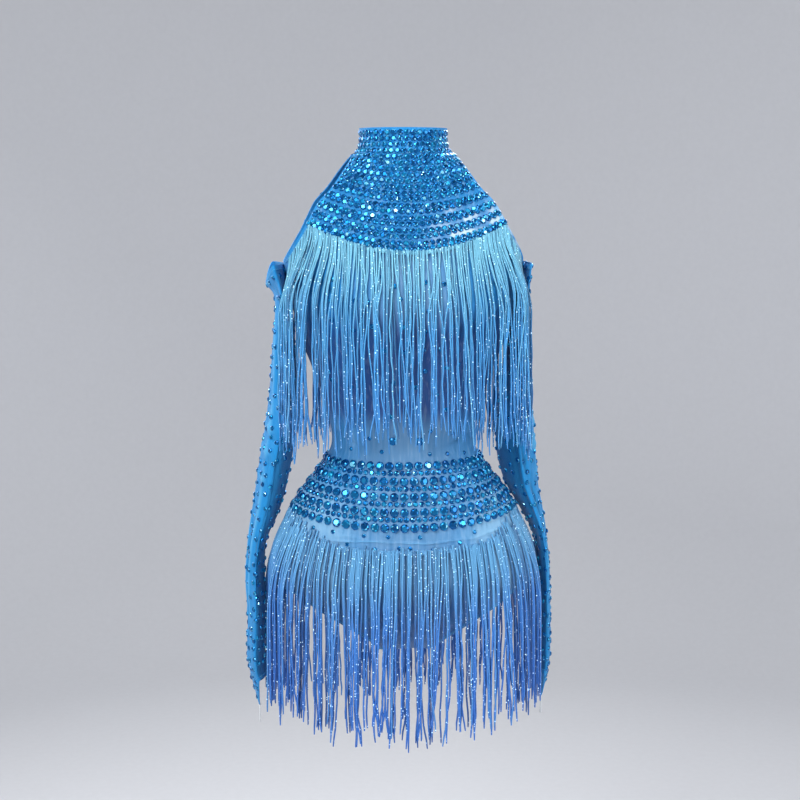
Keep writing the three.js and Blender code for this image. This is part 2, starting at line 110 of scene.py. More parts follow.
# Stones: rows of the yoke and the belt in millimetres, and single stones as x and z.
YOKE = {"rows": 20, "top": 22, "pitch": 7.54, "rise": 31}
COLLAR_ROWS = 3
BELT = {"rows": 5, "top": -393, "side_pitch": 15.8, "centre_pitch": 19.2, "welt": 0.8, "welt_width": 5.0}
LARGE_SINGLE, SMALL_SINGLE = 11.2, 5.8
LARGE_SINGLES = ((-19.6, -361.6), (14.4, -362.1))
WAIST_SINGLES = (
    (-48.3, -359),
    (-33.4, -375.4),
    (28.2, -349.6),
    (58.5, -355.5),
    (27, -378.9),
    (50.4, -380.1),
    (73.9, -381.8),
    (-70.3, -374.4),
)
HIP_SINGLES = (
    (-139.6, -483.1),
    (-119.7, -474),
    (-95.4, -476.5),
    (-113.9, -499),
    (-78.2, -490.4),
    (-57.1, -479.4),
    (-43.5, -495.9),
    (-27.2, -480.6),
    (-13.5, -494.8),
    (0.3, -495.1),
    (13, -481.4),
    (29.5, -497.4),
    (64.3, -490.3),
    (84, -479),
    (104.7, -499.9),
)

# Fringes: the tape they hang from, the line it is sewn along, and how the cords fall.
FRINGE_BAND = {"height": 6.0, "outer": 2.2}
CORD_CLEARANCE = 1.1
CORD_SIDES, CORD_RINGS = 5, 24
FALL_SAMPLES = 60
HIP_FLARE = 12
ARMHOLE_CORDS = {
    "count": 34,
    "top": -95,
    "drop": 38,
    "inset": 3.5,
    "slide": 26,
    "slide_over": 80,
    "cover": 171,
    "length": 236,
    "uneven": 30,
}
CHEST_LINE = {
    "centre_z": -125,
    "rise": 31,
    "edge_x": 123,
    "length": 226,
    "side_extra": 48,
    "spread": 27,
    "spread_over": 95,
    "cords": (160, 130),
    "crowding": 0.35,
    "clump": (2, 5),
    "uneven": 26,
    "shift": 0.8,
    "gather": 0.66,
    "gathered": 0.34,
    "drift": 6.0,
    "stray": 2.6,
    "cross": 3.2,
    "lift": 0,
    "thickness": 5.0,
    "puff": 2.6,
    "size": 0.95,
}
HIP_LINE = {
    "centre_z": -501,
    "rise": 30,
    "edge_x": 0,
    "length": 238,
    "side_extra": -12,
    "cords": (205, 175),
    "crowding": -0.1,
    "clump": (2, 5),
    "uneven": 26,
    "shift": 2.6,
    "gather": 0.62,
    "gathered": 0.5,
    "drift": 5.0,
    "stray": 2.2,
    "cross": 1.6,
    "lift": 20,
    "thickness": 4.0,
    "puff": 2.6,
    "size": 1.22,
}

# Sleeves as flattened tubes: distances of the inner and outer face from the middle plane, middle and
# half of the depth, and how far the outer face reaches below the inner one.
SLEEVE_COLUMNS = ("z", "inner", "outer", "y", "half_y", "point")
SLEEVE_RIGHT = (
    (-142.2, 152.9, 180, 8, 50, 24),
    (-154, 150.6, 176.5, 8, 49, 18),
    (-170, 147.6, 169, 8, 48, 10),
    (-188, 145.5, 165.5, 8, 47, 3),
    (-206, 143, 165, 8, 46, 0),
    (-253, 139, 169, 8, 45, 0),
    (-300, 136, 172.5, 8, 43, 0),
    (-344, 138, 178, 10, 42, 0),
    (-388, 143.5, 185.5, 12, 41, 0),
    (-432, 152, 192, 16, 39, 0),
    (-470, 163, 197, 21, 37, 0),
    (-510, 179.5, 202.5, 26, 36, 0),
    (-556, 182, 206, 28, 35, 0),
    (-604, 182, 205, 28, 34, 0),
    (-654, 183, 207, 28, 34, 0),
    (-680, 182.5, 205, 28, 33, 7),
    (-692, 181.8, 199, 28, 30, 43),
)
SLEEVE_LEFT = (
    (-142.2, 153.1, 165.5, 8, 50, 0),
    (-170, 147.8, 164.5, 8, 49, 0),
    (-206, 142, 163.5, 8, 47, 0),
    (-253, 136, 164.5, 8, 45, 0),
    (-300, 130, 168, 9, 43, 0),
    (-344, 125, 172, 12, 42, 0),
    (-388, 125, 176.5, 15, 41, 0),
    (-432, 137, 181.5, 20, 39, 0),
    (-470, 159, 188.5, 26, 37, 0),
    (-510, 178.5, 194.5, 30, 36, 0),
    (-556, 181.5, 200, 32, 35, 0),
    (-604, 182, 202.5, 32, 34, 0),
    (-654, 182, 203.5, 32, 34, 0),
    (-682, 182, 202.5, 32, 33, 7),
    (-694, 181.8, 199, 32, 30, 41),
)
SLEEVE_FOLD = 1.5
# Painted shade on a sleeve's body-facing inner half: how far it lowers the fold attribute.
INNER_SHADE = 2.1
POINT_CURL = 0.17

# Tints and painted light down the bodice's mesh, as heights below the neck seam in metres where each comes
# and goes. The shade under the chest fringe, the shade under the hip fringe and the highlight in the gaps
# between the upper stones are painted light.
TINTS_AND_PAINTED_LIGHT = {
    "yoke_ends": (0.118, 0.128),
    "lining": (0.1, 0.135),
    "lining_widens": (0.25, 0.5),
    "under_fringe": (0.175, 0.235),
    "fringe_ends": (0.32, 0.35),
    "hips": (0.405, 0.44),
    "seat_shade": (0.53, 0.58),
    "lit_gaps": (0.055, 0.085),
}

# Creases in the body's cloth: x and z of one end and of the other, width and height in millimetres.
# A negative height is a trough.
FRONT_CREASES = (
    (-93, -486, -20, -489, 1.1, 1.3),
    (-20, -489, 70, -487, 1.1, 1.5),
    (70, -487, 132, -479, 1.2, 1.2),
    (-92, -481, -60, -484, 2.0, 0.9),
    (-98, -489, -70, -497, 2.4, -1.0),
    (92, -352, 52, -372, 3.2, -1.5),
    (88, -340, 58, -386, 2.6, 1.4),
    (70, -330, 62, -388, 2.8, -1.2),
    (-90, -356, -58, -368, 3.0, -1.4),
    (-86, -344, -66, -384, 2.8, 1.2),
    (-30, -336, -20, -386, 4.5, 0.9),
    (24, -330, 34, -384, 4.0, -0.9),
    (60, -600, 20, -560, 4.0, 1.2),
    (-64, -598, -26, -556, 4.5, 1.3),
    (30, -632, 12, -580, 3.6, -1.2),
    (-28, -630, -8, -584, 3.4, -1.1),
    (110, -566, 60, -530, 5.0, -1.2),
    (-118, -562, -66, -526, 5.0, -1.1),
    (128, -150, 84, -176, 5.0, -2.0),
    (-130, -150, -86, -180, 5.0, -2.0),
    (134, -168, 96, -206, 4.5, 1.6),
    (-134, -172, -92, -204, 4.5, 1.5),
)
BACK_CREASES = (
    (-86, -352, -36, -364, 3.4, -1.6),
    (-84, -336, -40, -342, 3.0, 1.5),
    (-78, -318, -44, -326, 3.2, -1.3),
    (88, -348, 30, -360, 3.4, -1.7),
    (86, -332, 44, -340, 2.8, 1.4),
    (80, -312, 50, -318, 3.2, -1.2),
    (-20, -372, 20, -374, 3.0, 1.2),
    (-104, -494, 96, -492, 1.2, 1.3),
    (-110, -600, -50, -556, 4.8, 1.4),
    (112, -596, 56, -552, 4.6, 1.5),
    (-60, -628, -22, -584, 4.0, -1.2),
    (58, -630, 20, -588, 4.0, -1.3),
    (126, -150, 80, -182, 5.0, -1.9),
    (-126, -152, -84, -178, 5.0, -1.9),
    (104, -200, 70, -260, 5.0, 1.1),
    (-106, -204, -66, -256, 5.0, 1.2),
)

# Creases along the sleeves: the side of the tube as an angle from its outer face, how far it drifts
# over the crease's length, the two ends' heights, its width in degrees and how far it stands out.
RIGHT_TUBE_CREASES = (
    (-62, 14, -146, -330, 10, -3.2),
    (-30, -16, -170, -420, 9, 2.4),
    (-96, 22, -300, -560, 11, -3.4),
    (-48, 8, -380, -640, 9, 2.6),
    (-20, -10, -450, -690, 8, -2.2),
    (34, 12, -150, -400, 11, -2.8),
    (66, -18, -320, -600, 10, 2.4),
    (120, 10, -200, -480, 13, 2.0),
    (-130, -12, -210, -520, 13, -1.8),
    (96, 6, -480, -700, 10, -2.4),
    (-108, 10, -260, -600, 9, -4.6),
    (-84, -14, -560, -700, 7, -3.6),
    (10, 22, -160, -330, 9, -2.2),
    (4, -26, -430, -640, 9, 2.2),
)
LEFT_TUBE_CREASES = (
    (-70, -10, -146, -350, 10, -3.0),
    (-38, 18, -190, -440, 9, 2.6),
    (-84, 30, -330, -520, 10, -4.2),
    (-60, -8, -360, -600, 8, 2.6),
    (-24, 8, -430, -690, 9, -2.4),
    (30, -14, -160, -380, 11, 2.4),
    (74, 16, -300, -620, 11, -2.8),
    (118, -8, -180, -460, 12, -2.0),
    (-124, 10, -240, -500, 13, 1.8),
    (88, -8, -470, -700, 10, 2.2),
    (-104, -12, -290, -620, 9, -4.6),
    (-92, 12, -540, -700, 7, -3.4),
    (6, -24, -170, -350, 9, -2.2),
    (-4, 24, -440, -650, 9, 2.2),
)
# Short bunches across a sleeve where it bends: z, side and spread in degrees, width and height.
SLEEVE_BUNCHES = (
    (-352, -40, 46, 4.5, 1.6),
    (-366, -58, 40, 4.0, -1.5),
    (-381, -34, 50, 4.5, 1.5),
    (-399, -66, 38, 4.0, -1.3),
    (-417, -28, 44, 5.0, 1.2),
    (-372, 70, 52, 5.0, 1.4),
    (-392, 88, 44, 4.5, -1.3),
    (-604, -20, 60, 4.0, 1.0),
    (-618, 30, 54, 4.0, -1.0),
    (-640, -46, 48, 4.5, 1.0),
    (-664, 12, 62, 4.0, 0.9),
)


class Sections:
    """Columns of a table as smooth curves over the row number."""

    def __init__(self, columns, rows):
        self.columns = columns
        self.table = np.array(rows, float)
        self.last = len(rows) - 1
        self.fine = np.linspace(0, self.last, 40 * self.last + 1)
        self.fine_z = self.at("z", self.fine)

    def at(self, column, row):
        """A column's value at a row number, which need not be whole."""
        values = self.table[:, self.columns.index(column)]
        padded = np.concatenate([[values[1]], values, [values[-2]]])
        row = np.clip(np.asarray(row, float), 0, self.last)
        start = np.minimum(row.astype(int), self.last - 1)
        part = row - start
        before, here, there, after = (padded[start + shift] for shift in range(4))
        slope_here, slope_there = (there - before) / 2, (after - here) / 2
        square, cube = part**2, part**3
        return (
            (2 * cube - 3 * square + 1) * here
            + (cube - 2 * square + part) * slope_here
            + (3 * square - 2 * cube) * there
            + (cube - square) * slope_there
        )

    def row_at(self, z):
        """The row number at a height."""
        return np.interp(-np.asarray(z, float), -self.fine_z, self.fine)


class Sleeve(Sections):
    """A sleeve's sections and creases; sign is 1 on the wearer's left."""

    def __init__(self, sign, rows, creases):
        super().__init__(SLEEVE_COLUMNS, rows)
        self.sign = sign
        self.creases = creases

    def surface(self, turn, row):
        """Points on the outside of the sleeve; turn is 0 on the side away from the body."""
        outer, inner = self.at("outer", row), self.at("inner", row)
        cosine, sine = np.cos(turn), np.sin(turn)
        across = (outer - inner) / 2 * np.sign(cosine) * np.abs(cosine) ** (2 / SLEEVE_FOLD)
        along = self.at("half_y", row) * np.sign(sine) * np.abs(sine) ** (2 / SLEEVE_FOLD)
        dip = self.at("point", row) * np.maximum(0, cosine) ** 2
        x = (outer + inner) / 2 + across - POINT_CURL * dip
        return np.stack([self.sign * x, self.at("y", row) + along, self.at("z", row) - dip], axis=-1)

    def relief(self, turn, z):
        """Long creases down the sleeve and short bunches across it, for turns in degrees."""
        total = np.zeros(np.broadcast(turn, z).shape)
        for angle, drift, z1, z2, width, height in self.creases:
            part = (z - z1) / (z2 - z1)
            line = angle + drift * part + 4 * np.sin(6 * part + angle)
            aside = (turn - line + 180) % 360 - 180
            total += height * bell(aside, width) * smooth(part, -0.05, 0.3) * smooth(-part, -1.05, -0.7)
        for z0, angle, spread, width, height in SLEEVE_BUNCHES:
            aside = (turn - angle + 180) % 360 - 180
            line = z0 + 5 * np.sin(np.radians(aside) * 1.6)
            total += height * bell(z - line, width) * bell(aside, spread)
        return total

    def dressed(self, turn, row):
        """Plain points on the sleeve, their normals and how far the creases raise the cloth there."""
        plain = self.surface(turn, row)
        step = 0.01
        around = self.surface(turn + step, row) - self.surface(turn - step, row)
        lower = self.surface(turn, np.minimum(row + step, self.last))
        down = lower - self.surface(turn, np.maximum(row - step, 0))
        normals = unit(np.cross(around, down)) * -self.sign
        flat_side = np.sin(turn) ** 2
        height = self.relief(np.degrees(turn), self.at("z", row)) * (1 - 0.5 * flat_side**3)
        return plain, normals, height


form = Sections(FORM_COLUMNS, FORM_ROWS)
SLEEVES = {
    "left": Sleeve(1, SLEEVE_LEFT, LEFT_TUBE_CREASES),
    "right": Sleeve(-1, SLEEVE_RIGHT, RIGHT_TUBE_CREASES),
}


def unit(vectors):
    return vectors / np.maximum(np.linalg.norm(vectors, axis=-1, keepdims=True), 1e-9)


def smooth(value, low, high):
    """0 below low and 1 above high, with a smooth change between them."""
    part = np.clip((value - low) / (high - low), 0, 1)
    return part * part * (3 - 2 * part)


def bell(distance, width):
    """1 at no distance, falling off smoothly over the width."""
    return np.exp(-((distance / width) ** 2))


def skin(face, angle, row):
    """Points on the outside of the form: angle is 0 at centre front or back and 90 degrees at the side."""
    x = form.at("half", row) * np.sin(angle)
    cup = form.at("cup", row) * bell(np.abs(x) - CUP["centre"], CUP["width"]) if face == "front" else 0
    depth = (form.at(face, row) + cup) * np.cos(angle) + SEAM / 2
    z = form.at("z", row) + 0 * angle
    return np.stack([x, -depth if face == "front" else depth, z], axis=-1)


def skin_normal(face, angle, row):
    """Directions out of the form, at right angles to it."""
    step = 0.002
    across = skin(face, angle + step, row) - skin(face, angle - step, row)
    lower = np.minimum(row + step, form.last)
    upper = np.maximum(row - step, 0)
    normal = unit(np.cross(skin(face, angle, lower) - skin(face, angle, upper), across))
    return normal if face == "front" else -normal


def angle_at(x, row):
    """The angle whose point on the form lies x to the side."""
    return np.arcsin(np.clip(x / form.at("half", row), -1, 1))


def reach(face, row):
    """The angle at which a panel ends: its armhole, side or leg edge."""
    return np.arcsin(np.minimum(1, form.at(face + "_edge", row) / form.at("half", row)))


def keyhole_half(z):
    """Half the keyhole's width at a height, and 0 above and below it."""
    share = np.clip((KEYHOLE["top"] - z) / (KEYHOLE["top"] - KEYHOLE["bottom"]), 0, 1)
    return KEYHOLE["half"] * np.sin(math.pi * share) ** 0.75


def crease_height(creases, x, z):
    """Height of all the creases at points of a panel, each a soft ridge along a short line."""
    total = np.zeros(np.broadcast(x, z).shape)
    for x1, z1, x2, z2, width, height in creases:
        along = np.array([x2 - x1, z2 - z1])
        length = np.linalg.norm(along)
        part = ((x - x1) * along[0] + (z - z1) * along[1]) / length**2
        aside = ((x - x1) * along[1] - (z - z1) * along[0]) / length
        wander = 1.6 * np.sin(5 * part + x1)
        ends = smooth(part, -0.15, 0.25) * smooth(-part, -1.15, -0.75)
        total += height * bell(aside - wander, width) * ends
    return total


def body_relief(face, x, z):
    creases = FRONT_CREASES if face == "front" else BACK_CREASES
    ripple = 0.35 * np.sin(x / 13 + z / 21) * np.sin(z / 17 - x / 29)
    return crease_height(creases, x, z) + ripple


def dressed_skin(face, angle, row):
    """Points on the cloth with its creases, and their normals."""
    points = skin(face, angle, row)
    normals = skin_normal(face, angle, row)
    height = body_relief(face, points[..., 0], points[..., 2])
    return points + normals * height[..., None], normals


def new_object(name, points, faces, uv=None):
    """A mesh object from points in millimetres, with an optional UV for each point."""
    mesh = bpy.data.meshes.new(name)
    mesh.from_pydata((np.asarray(points) * MM).tolist(), [], [tuple(face) for face in faces])
    mesh.validate()
    if uv is not None:
        layer = mesh.uv_layers.new(name="UVMap")
        corners = np.empty(len(mesh.loops), dtype=np.int32)
        mesh.loops.foreach_get("vertex_index", corners)
        layer.data.foreach_set("uv", np.asarray(uv, float)[corners].ravel())
    mesh.update()
    piece = bpy.data.objects.new(name, mesh)
    bpy.context.collection.objects.link(piece)
    return piece


def make_active(piece):
    if bpy.context.mode != "OBJECT":
        bpy.ops.object.mode_set(mode="OBJECT")
    bpy.ops.object.select_all(action="DESELECT")
    piece.select_set(True)
    bpy.context.view_layer.objects.active = piece


def apply_modifier(piece, kind, **settings):
    modifier = piece.modifiers.new(kind.title(), kind)
    for key, value in settings.items():
        setattr(modifier, key, value)
    make_active(piece)
    bpy.ops.object.modifier_apply(modifier=modifier.name)


def finish_piece(piece, material, slot, *nodes, smooth_angle=40):
    piece.data.materials.clear()
    piece.data.materials.append(material)
    if smooth_angle:
        make_active(piece)
        bpy.ops.object.shade_smooth_by_angle(angle=math.radians(smooth_angle))
    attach(piece, "root")
    if nodes:
        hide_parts(*nodes)
    return piece


def grid_faces(rows, columns):
    row, column = np.meshgrid(np.arange(rows - 1), np.arange(columns - 1), indexing="ij")
    here = row * columns + column
    return np.stack([here, here + 1, here + columns + 1, here + columns], axis=-1).reshape(-1, 4)


def point_attribute(piece, name, values, domain="POINT"):
    layer = piece.data.attributes.new(name, "FLOAT", domain)
    layer.data.foreach_set("value", np.asarray(values, np.float32).ravel())


def cloth_sheet(name, grid, thickness, edge, fold):
    """A sheet of cloth from a grid of points on its right side, thickened inwards.

    Its UV is in metres. A grid whose first and last columns meet becomes a tube. edge holds each
    point's distance in millimetres from the nearest hem, for the stitched groove in its material,
    and fold how high a crease raises it, for the painted shade in the troughs and the painted
    highlight on the ridges; a sleeve's fold also carries painted shade over its inner half.
    """
    rows, columns = grid.shape[:2]
    across = np.linalg.norm(np.diff(grid, axis=1), axis=-1)
    down = np.linalg.norm(np.diff(grid, axis=0), axis=-1)
    u = np.concatenate([np.zeros((rows, 1)), np.cumsum(across, axis=1)], axis=1)
    u -= u[:, columns // 2][:, None]
    v = np.concatenate([np.zeros((1, columns)), np.cumsum(down, axis=0)], axis=0)
    uv = np.stack([u, -v], axis=-1).reshape(-1, 2) * MM
    piece = new_object(name, grid.reshape(-1, 3), grid_faces(rows, columns), uv)
    point_attribute(piece, "edge", edge)
    point_attribute(piece, "fold", fold)
    is_tube = np.linalg.norm(grid[:, 0] - grid[:, -1], axis=-1).max() < 0.01
    face_outwards(piece, grid.reshape(-1, 3).mean(axis=0) * MM if is_tube else np.zeros(3))
    apply_modifier(piece, "SOLIDIFY", thickness=thickness * MM, offset=-1)
    return piece


def face_outwards(piece, middle):
    """Merges double points and turns an open sheet's faces away from a vertical line through middle."""
    make_active(piece)
    bpy.ops.object.mode_set(mode="EDIT")
    bpy.ops.mesh.select_all(action="SELECT")
    bpy.ops.mesh.remove_doubles(threshold=0.000005)
    bpy.ops.mesh.normals_make_consistent(inside=False)
    bpy.ops.object.mode_set(mode="OBJECT")
    mesh = piece.data
    centres = np.empty(3 * len(mesh.polygons))
    normals = np.empty(3 * len(mesh.polygons))
    mesh.polygons.foreach_get("center", centres)
    mesh.polygons.foreach_get("normal", normals)
    outward = centres.reshape(-1, 3) - np.asarray(middle)
    outward[:, 2] = 0
    if (outward * normals.reshape(-1, 3)).sum() < 0:
        mesh.flip_normals()


def sheet_area(grid):
    """Area in square metres of a grid of points in millimetres."""
    a, b = grid[:-1, :-1], grid[:-1, 1:]
    c, d = grid[1:, 1:], grid[1:, :-1]
    halves = np.cross(b - a, c - a), np.cross(c - a, d - a)
    return sum(np.linalg.norm(half, axis=-1).sum() for half in halves) / 2 * MM * MM


def declare_sheet(grid, spine=None):
    """Reckons a cloth piece's widest row, the length of its middle column or of spine, and its area, and
    keeps none of them.
    """
    column = grid.shape[1] // 2 if spine is None else spine
    across = np.linalg.norm(np.diff(grid, axis=1), axis=-1).sum(axis=1).max() * MM
    down = np.linalg.norm(np.diff(grid[:, column], axis=0), axis=-1).sum() * MM
    area = min(sheet_area(grid), across * down)


def edge_distance(grid, lines):
    """Distance in millimetres from each point of a grid to the nearest point of its free edges."""
    nearest = np.full(grid.shape[:2], 99.0)
    for point in np.concatenate(lines):
        nearest = np.minimum(nearest, np.linalg.norm(grid - point, axis=-1))
    return nearest


def hem_height(distance):
    """How far a folded hem raises the cloth, by the distance from its edge."""
    return HEM["raise"] * smooth(-distance, -HEM["width"] - HEM["soft"], -HEM["width"])


def srgb(code):
    """A colour written as 0xRRGGBB, as linear values."""
    parts = np.array([(code >> shift) & 255 for shift in (16, 8, 0)]) / 255
    linear = np.where(parts <= 0.04045, parts / 12.92, ((parts + 0.055) / 1.055) ** 2.4)
    return tuple(float(part) for part in linear)


class Socket:
    """An output of a shader node that can be reckoned with like a number."""

    def __init__(self, nodes, output):
        self.nodes = nodes
        self.output = output

    def __add__(self, other):
        return self.nodes.math("ADD", self, other)

    def __radd__(self, other):
        return self.nodes.math("ADD", other, self)

    def __sub__(self, other):
        return self.nodes.math("SUBTRACT", self, other)

    def __rsub__(self, other):
        return self.nodes.math("SUBTRACT", other, self)

    def __mul__(self, other):
        return self.nodes.math("MULTIPLY", self, other)

    def __rmul__(self, other):
        return self.nodes.math("MULTIPLY", other, self)


class MaterialNodes:
    """A new material with a Principled shader, and short ways to add the nodes that feed it."""

    def __init__(self, name, **uniform):
        self.material = bpy.data.materials.new(name)
        self.material.use_nodes = True
        self.tree = self.material.node_tree
        self.shader = self.tree.nodes["Principled BSDF"]
        for socket, value in uniform.items():
            self.shader.inputs[socket.replace("_", " ")].default_value = value

    def node(self, kind, inputs=None, output=0, **settings):
        made = self.tree.nodes.new(kind)
        for key, value in settings.items():
            setattr(made, key, value)
        for key, value in (inputs or {}).items():
            self.feed(made.inputs[key], value)
        return Socket(self, made.outputs[output])

    def feed(self, target, value):
        if isinstance(value, Socket):
            self.tree.links.new(value.output, target)
        elif isinstance(value, tuple) and len(value) == 3 and target.type == "RGBA":
            target.default_value = (*value, 1)
        else:
            target.default_value = value

    def math(self, operation, *values, clamp=False):
        numbered = dict(enumerate(values))
        return self.node("ShaderNodeMath", numbered, operation=operation, use_clamp=clamp)

    def step(self, value, low, high):
        """0 below low and 1 above high, with a smooth change between them."""
        inputs = {"Value": value, "From Min": low, "From Max": high}
        return self.node("ShaderNodeMapRange", inputs, interpolation_type="SMOOTHSTEP")

    def mix(self, factor, first, second):
        """From the first colour to the second; sockets 6 and 7 are the Mix node's colours."""
        inputs = {"Factor": factor, 6: first, 7: second}
        return self.node("ShaderNodeMix", inputs, output=2, data_type="RGBA")

    def place(self, scale=(1, 1, 1)):
        """Object coordinates in metres, stretched by scale."""
        here = self.node("ShaderNodeTexCoord", output="Object")
        inputs = {0: here, 1: scale}
        return self.node("ShaderNodeVectorMath", inputs, operation="MULTIPLY")

    def axis(self, vector, name):
        return self.node("ShaderNodeSeparateXYZ", {0: vector}, output=name)

    def noise(self, vector, scale, detail):
        inputs = {"Vector": vector, "Scale": scale, "Detail": detail}
        return self.node("ShaderNodeTexNoise", inputs)

    def attribute(self, name):
        return self.node("ShaderNodeAttribute", output="Fac", attribute_name=name)

    def bump(self, height, strength, distance):
        inputs = {"Height": height, "Strength": strength, "Distance": distance}
        self.feed(self.shader.inputs["Normal"], self.node("ShaderNodeBump", inputs))

    def set(self, socket, value):
        self.feed(self.shader.inputs[socket], value)


def knit_height(nodes, rib, course):
    """Fine ribs and courses of a mesh knit from the UV in metres; both pitches are in metres."""
    place = nodes.node("ShaderNodeUVMap", uv_map="UVMap")
    across = nodes.math("SINE", nodes.axis(place, "X") * (2 * math.pi / rib))
    down = nodes.math("SINE", nodes.axis(place, "Y") * (2 * math.pi / course))
    return across * 0.5 + down * 0.3


def cloth_material(name, side, middle, pale_share):
    """Stretch mesh: knit texture, soft streaks, a stitched hem, and a paler middle where it is lined;
    painted shade under the fringes, in crease troughs and on a sleeve's inner half, and painted highlights
    on crease ridges and between the upper stones.
    """
    nodes = MaterialNodes(name, Sheen_Weight=0.1, Sheen_Roughness=0.5, Specular_IOR_Level=0.25)
    place = nodes.place()
    wide = nodes.math("ABSOLUTE", nodes.axis(place, "X"))
    down = 0.0 - nodes.axis(place, "Z")
    low = nodes.step(down, *TINTS_AND_PAINTED_LIGHT["lining_widens"])
    pale = (1.0 - nodes.step(wide, 0.015, 0.1 + 0.05 * low)) * pale_share
    pale = pale * nodes.step(down, *TINTS_AND_PAINTED_LIGHT["lining"])
    streak = nodes.noise(nodes.place((230, 230, 10)), 1.0, 3.0)
    cloud = nodes.noise(place, 26.0, 3.0)
    base = nodes.mix(nodes.math("MULTIPLY", pale, 0.7 + 0.6 * cloud, clamp=True), side, middle)
    hips = nodes.step(down, *TINTS_AND_PAINTED_LIGHT["hips"]) * nodes.step(wide, 0.05, 0.11) * pale_share
    base = nodes.mix(hips * (0.25 + 0.5 * cloud), base, srgb(0xA4CADC))
    # Painted shadow of the chest fringe on the mesh under it, between under_fringe and fringe_ends.
    shade = nodes.step(down, *TINTS_AND_PAINTED_LIGHT["under_fringe"]) * (1.0 - nodes.step(down, *TINTS_AND_PAINTED_LIGHT["fringe_ends"]))
    base = nodes.mix(shade * pale_share * 0.75, base, srgb(0x1D3D8A))
    # Painted shadow of the hip fringe on the mesh behind it.
    seat_shade = nodes.step(down, *TINTS_AND_PAINTED_LIGHT["seat_shade"]) * pale_share
    base = nodes.mix(seat_shade * 0.5, base, srgb(0x1F4594))
    yoke = (1.0 - nodes.step(down, *TINTS_AND_PAINTED_LIGHT["yoke_ends"])) * pale_share
    base = nodes.mix(yoke * 0.5, base, srgb(0x0E568C))
    # Painted highlight: near-white patches in the gaps between the upper stones, on the front at positive x
    # only.
    lit_gaps = nodes.step(nodes.axis(place, "X"), 0.01, 0.06) * nodes.step(down, *TINTS_AND_PAINTED_LIGHT["lit_gaps"]) * yoke
    lit_gaps = lit_gaps * (1.0 - nodes.step(nodes.axis(place, "Y"), -0.01, 0.01))
    lit_gaps = lit_gaps * (0.15 + 0.85 * nodes.step(nodes.noise(place, 60.0, 1.0), 0.4, 0.62))
    base = nodes.mix(lit_gaps * 0.7, base, srgb(0xD6ECF2))
    coloured = nodes.mix(nodes.step(streak, 0.5, 0.75) * 0.4, base, tuple(0.55 * part for part in side))
    coloured = nodes.mix(nodes.step(streak, 0.5, 0.28) * 0.15 * pale_share, coloured, srgb(0xB8D6E8))
    # Painted shade in the troughs of creases and on a sleeve's inner half, painted highlight on the ridges.
    fold = nodes.attribute("fold")
    coloured = nodes.mix(nodes.step(fold, -0.5, -2.6) * 0.6, coloured, tuple(0.3 * part for part in side))
    coloured = nodes.mix(nodes.step(fold, 0.5, 2.4) * 0.4, coloured, srgb(0x6CC4EE))
    hem = 1.0 - nodes.step(nodes.attribute("edge"), 5.4, 6.6)
    coloured = nodes.mix(hem * 0.25, coloured, tuple(min(1.0, 1.35 * part) for part in side))
    nodes.set("Base Color", coloured)
    nodes.set("Roughness", 0.62 + 0.12 * cloud)
    groove = nodes.math("ABSOLUTE", nodes.attribute("edge") - HEM["stitch"])
    groove = 1.0 - nodes.step(groove, 0.1, 0.7)
    relief = knit_height(nodes, 0.0011, 0.0014) + 0.8 * cloud - 2.0 * groove
    nodes.bump(relief, 0.5, 0.0004)
    return nodes.material


def stone_material(name, deep, bright):
    """Foil-backed faceted glass with painted reflections: facets picked at random are painted brighter, a
    few painted white as sparkles, and every stone glows faintly, the picked facets more.
    """
    nodes = MaterialNodes(name, Coat_Weight=0.25, Coat_Roughness=0.02, IOR=1.6)
    spark = nodes.attribute("spark")
    tone = nodes.attribute("tone")
    # Painted reflections: facets with a high spark are painted brighter and less metallic.
    lit = nodes.step(spark, 0.6, 0.98)
    colour = nodes.mix(lit * 0.8 + 0.15 * tone, deep, bright)
    colour = nodes.mix(nodes.step(tone, 0.75, 1.0) * 0.3, colour, srgb(0x0B7F8C))
    # Painted sparkle: a few facets painted near white.
    colour = nodes.mix(nodes.step(spark, 0.94, 0.97) * 0.5, colour, (0.62, 0.94, 1.0))
    nodes.set("Base Color", colour)
    nodes.set("Metallic", 0.95 - 0.2 * lit)
    nodes.set("Roughness", 0.13 + 0.2 * tone)
    # Painted glow: every stone emits a little light, the facets with a high spark more.
    glow = nodes.step(spark, 0.86, 0.97)
    nodes.set("Emission Color", nodes.mix(glow, tuple(0.5 * part for part in deep), srgb(0x2FC6E8)))
    nodes.set("Emission Strength", 0.4)
    return nodes.material


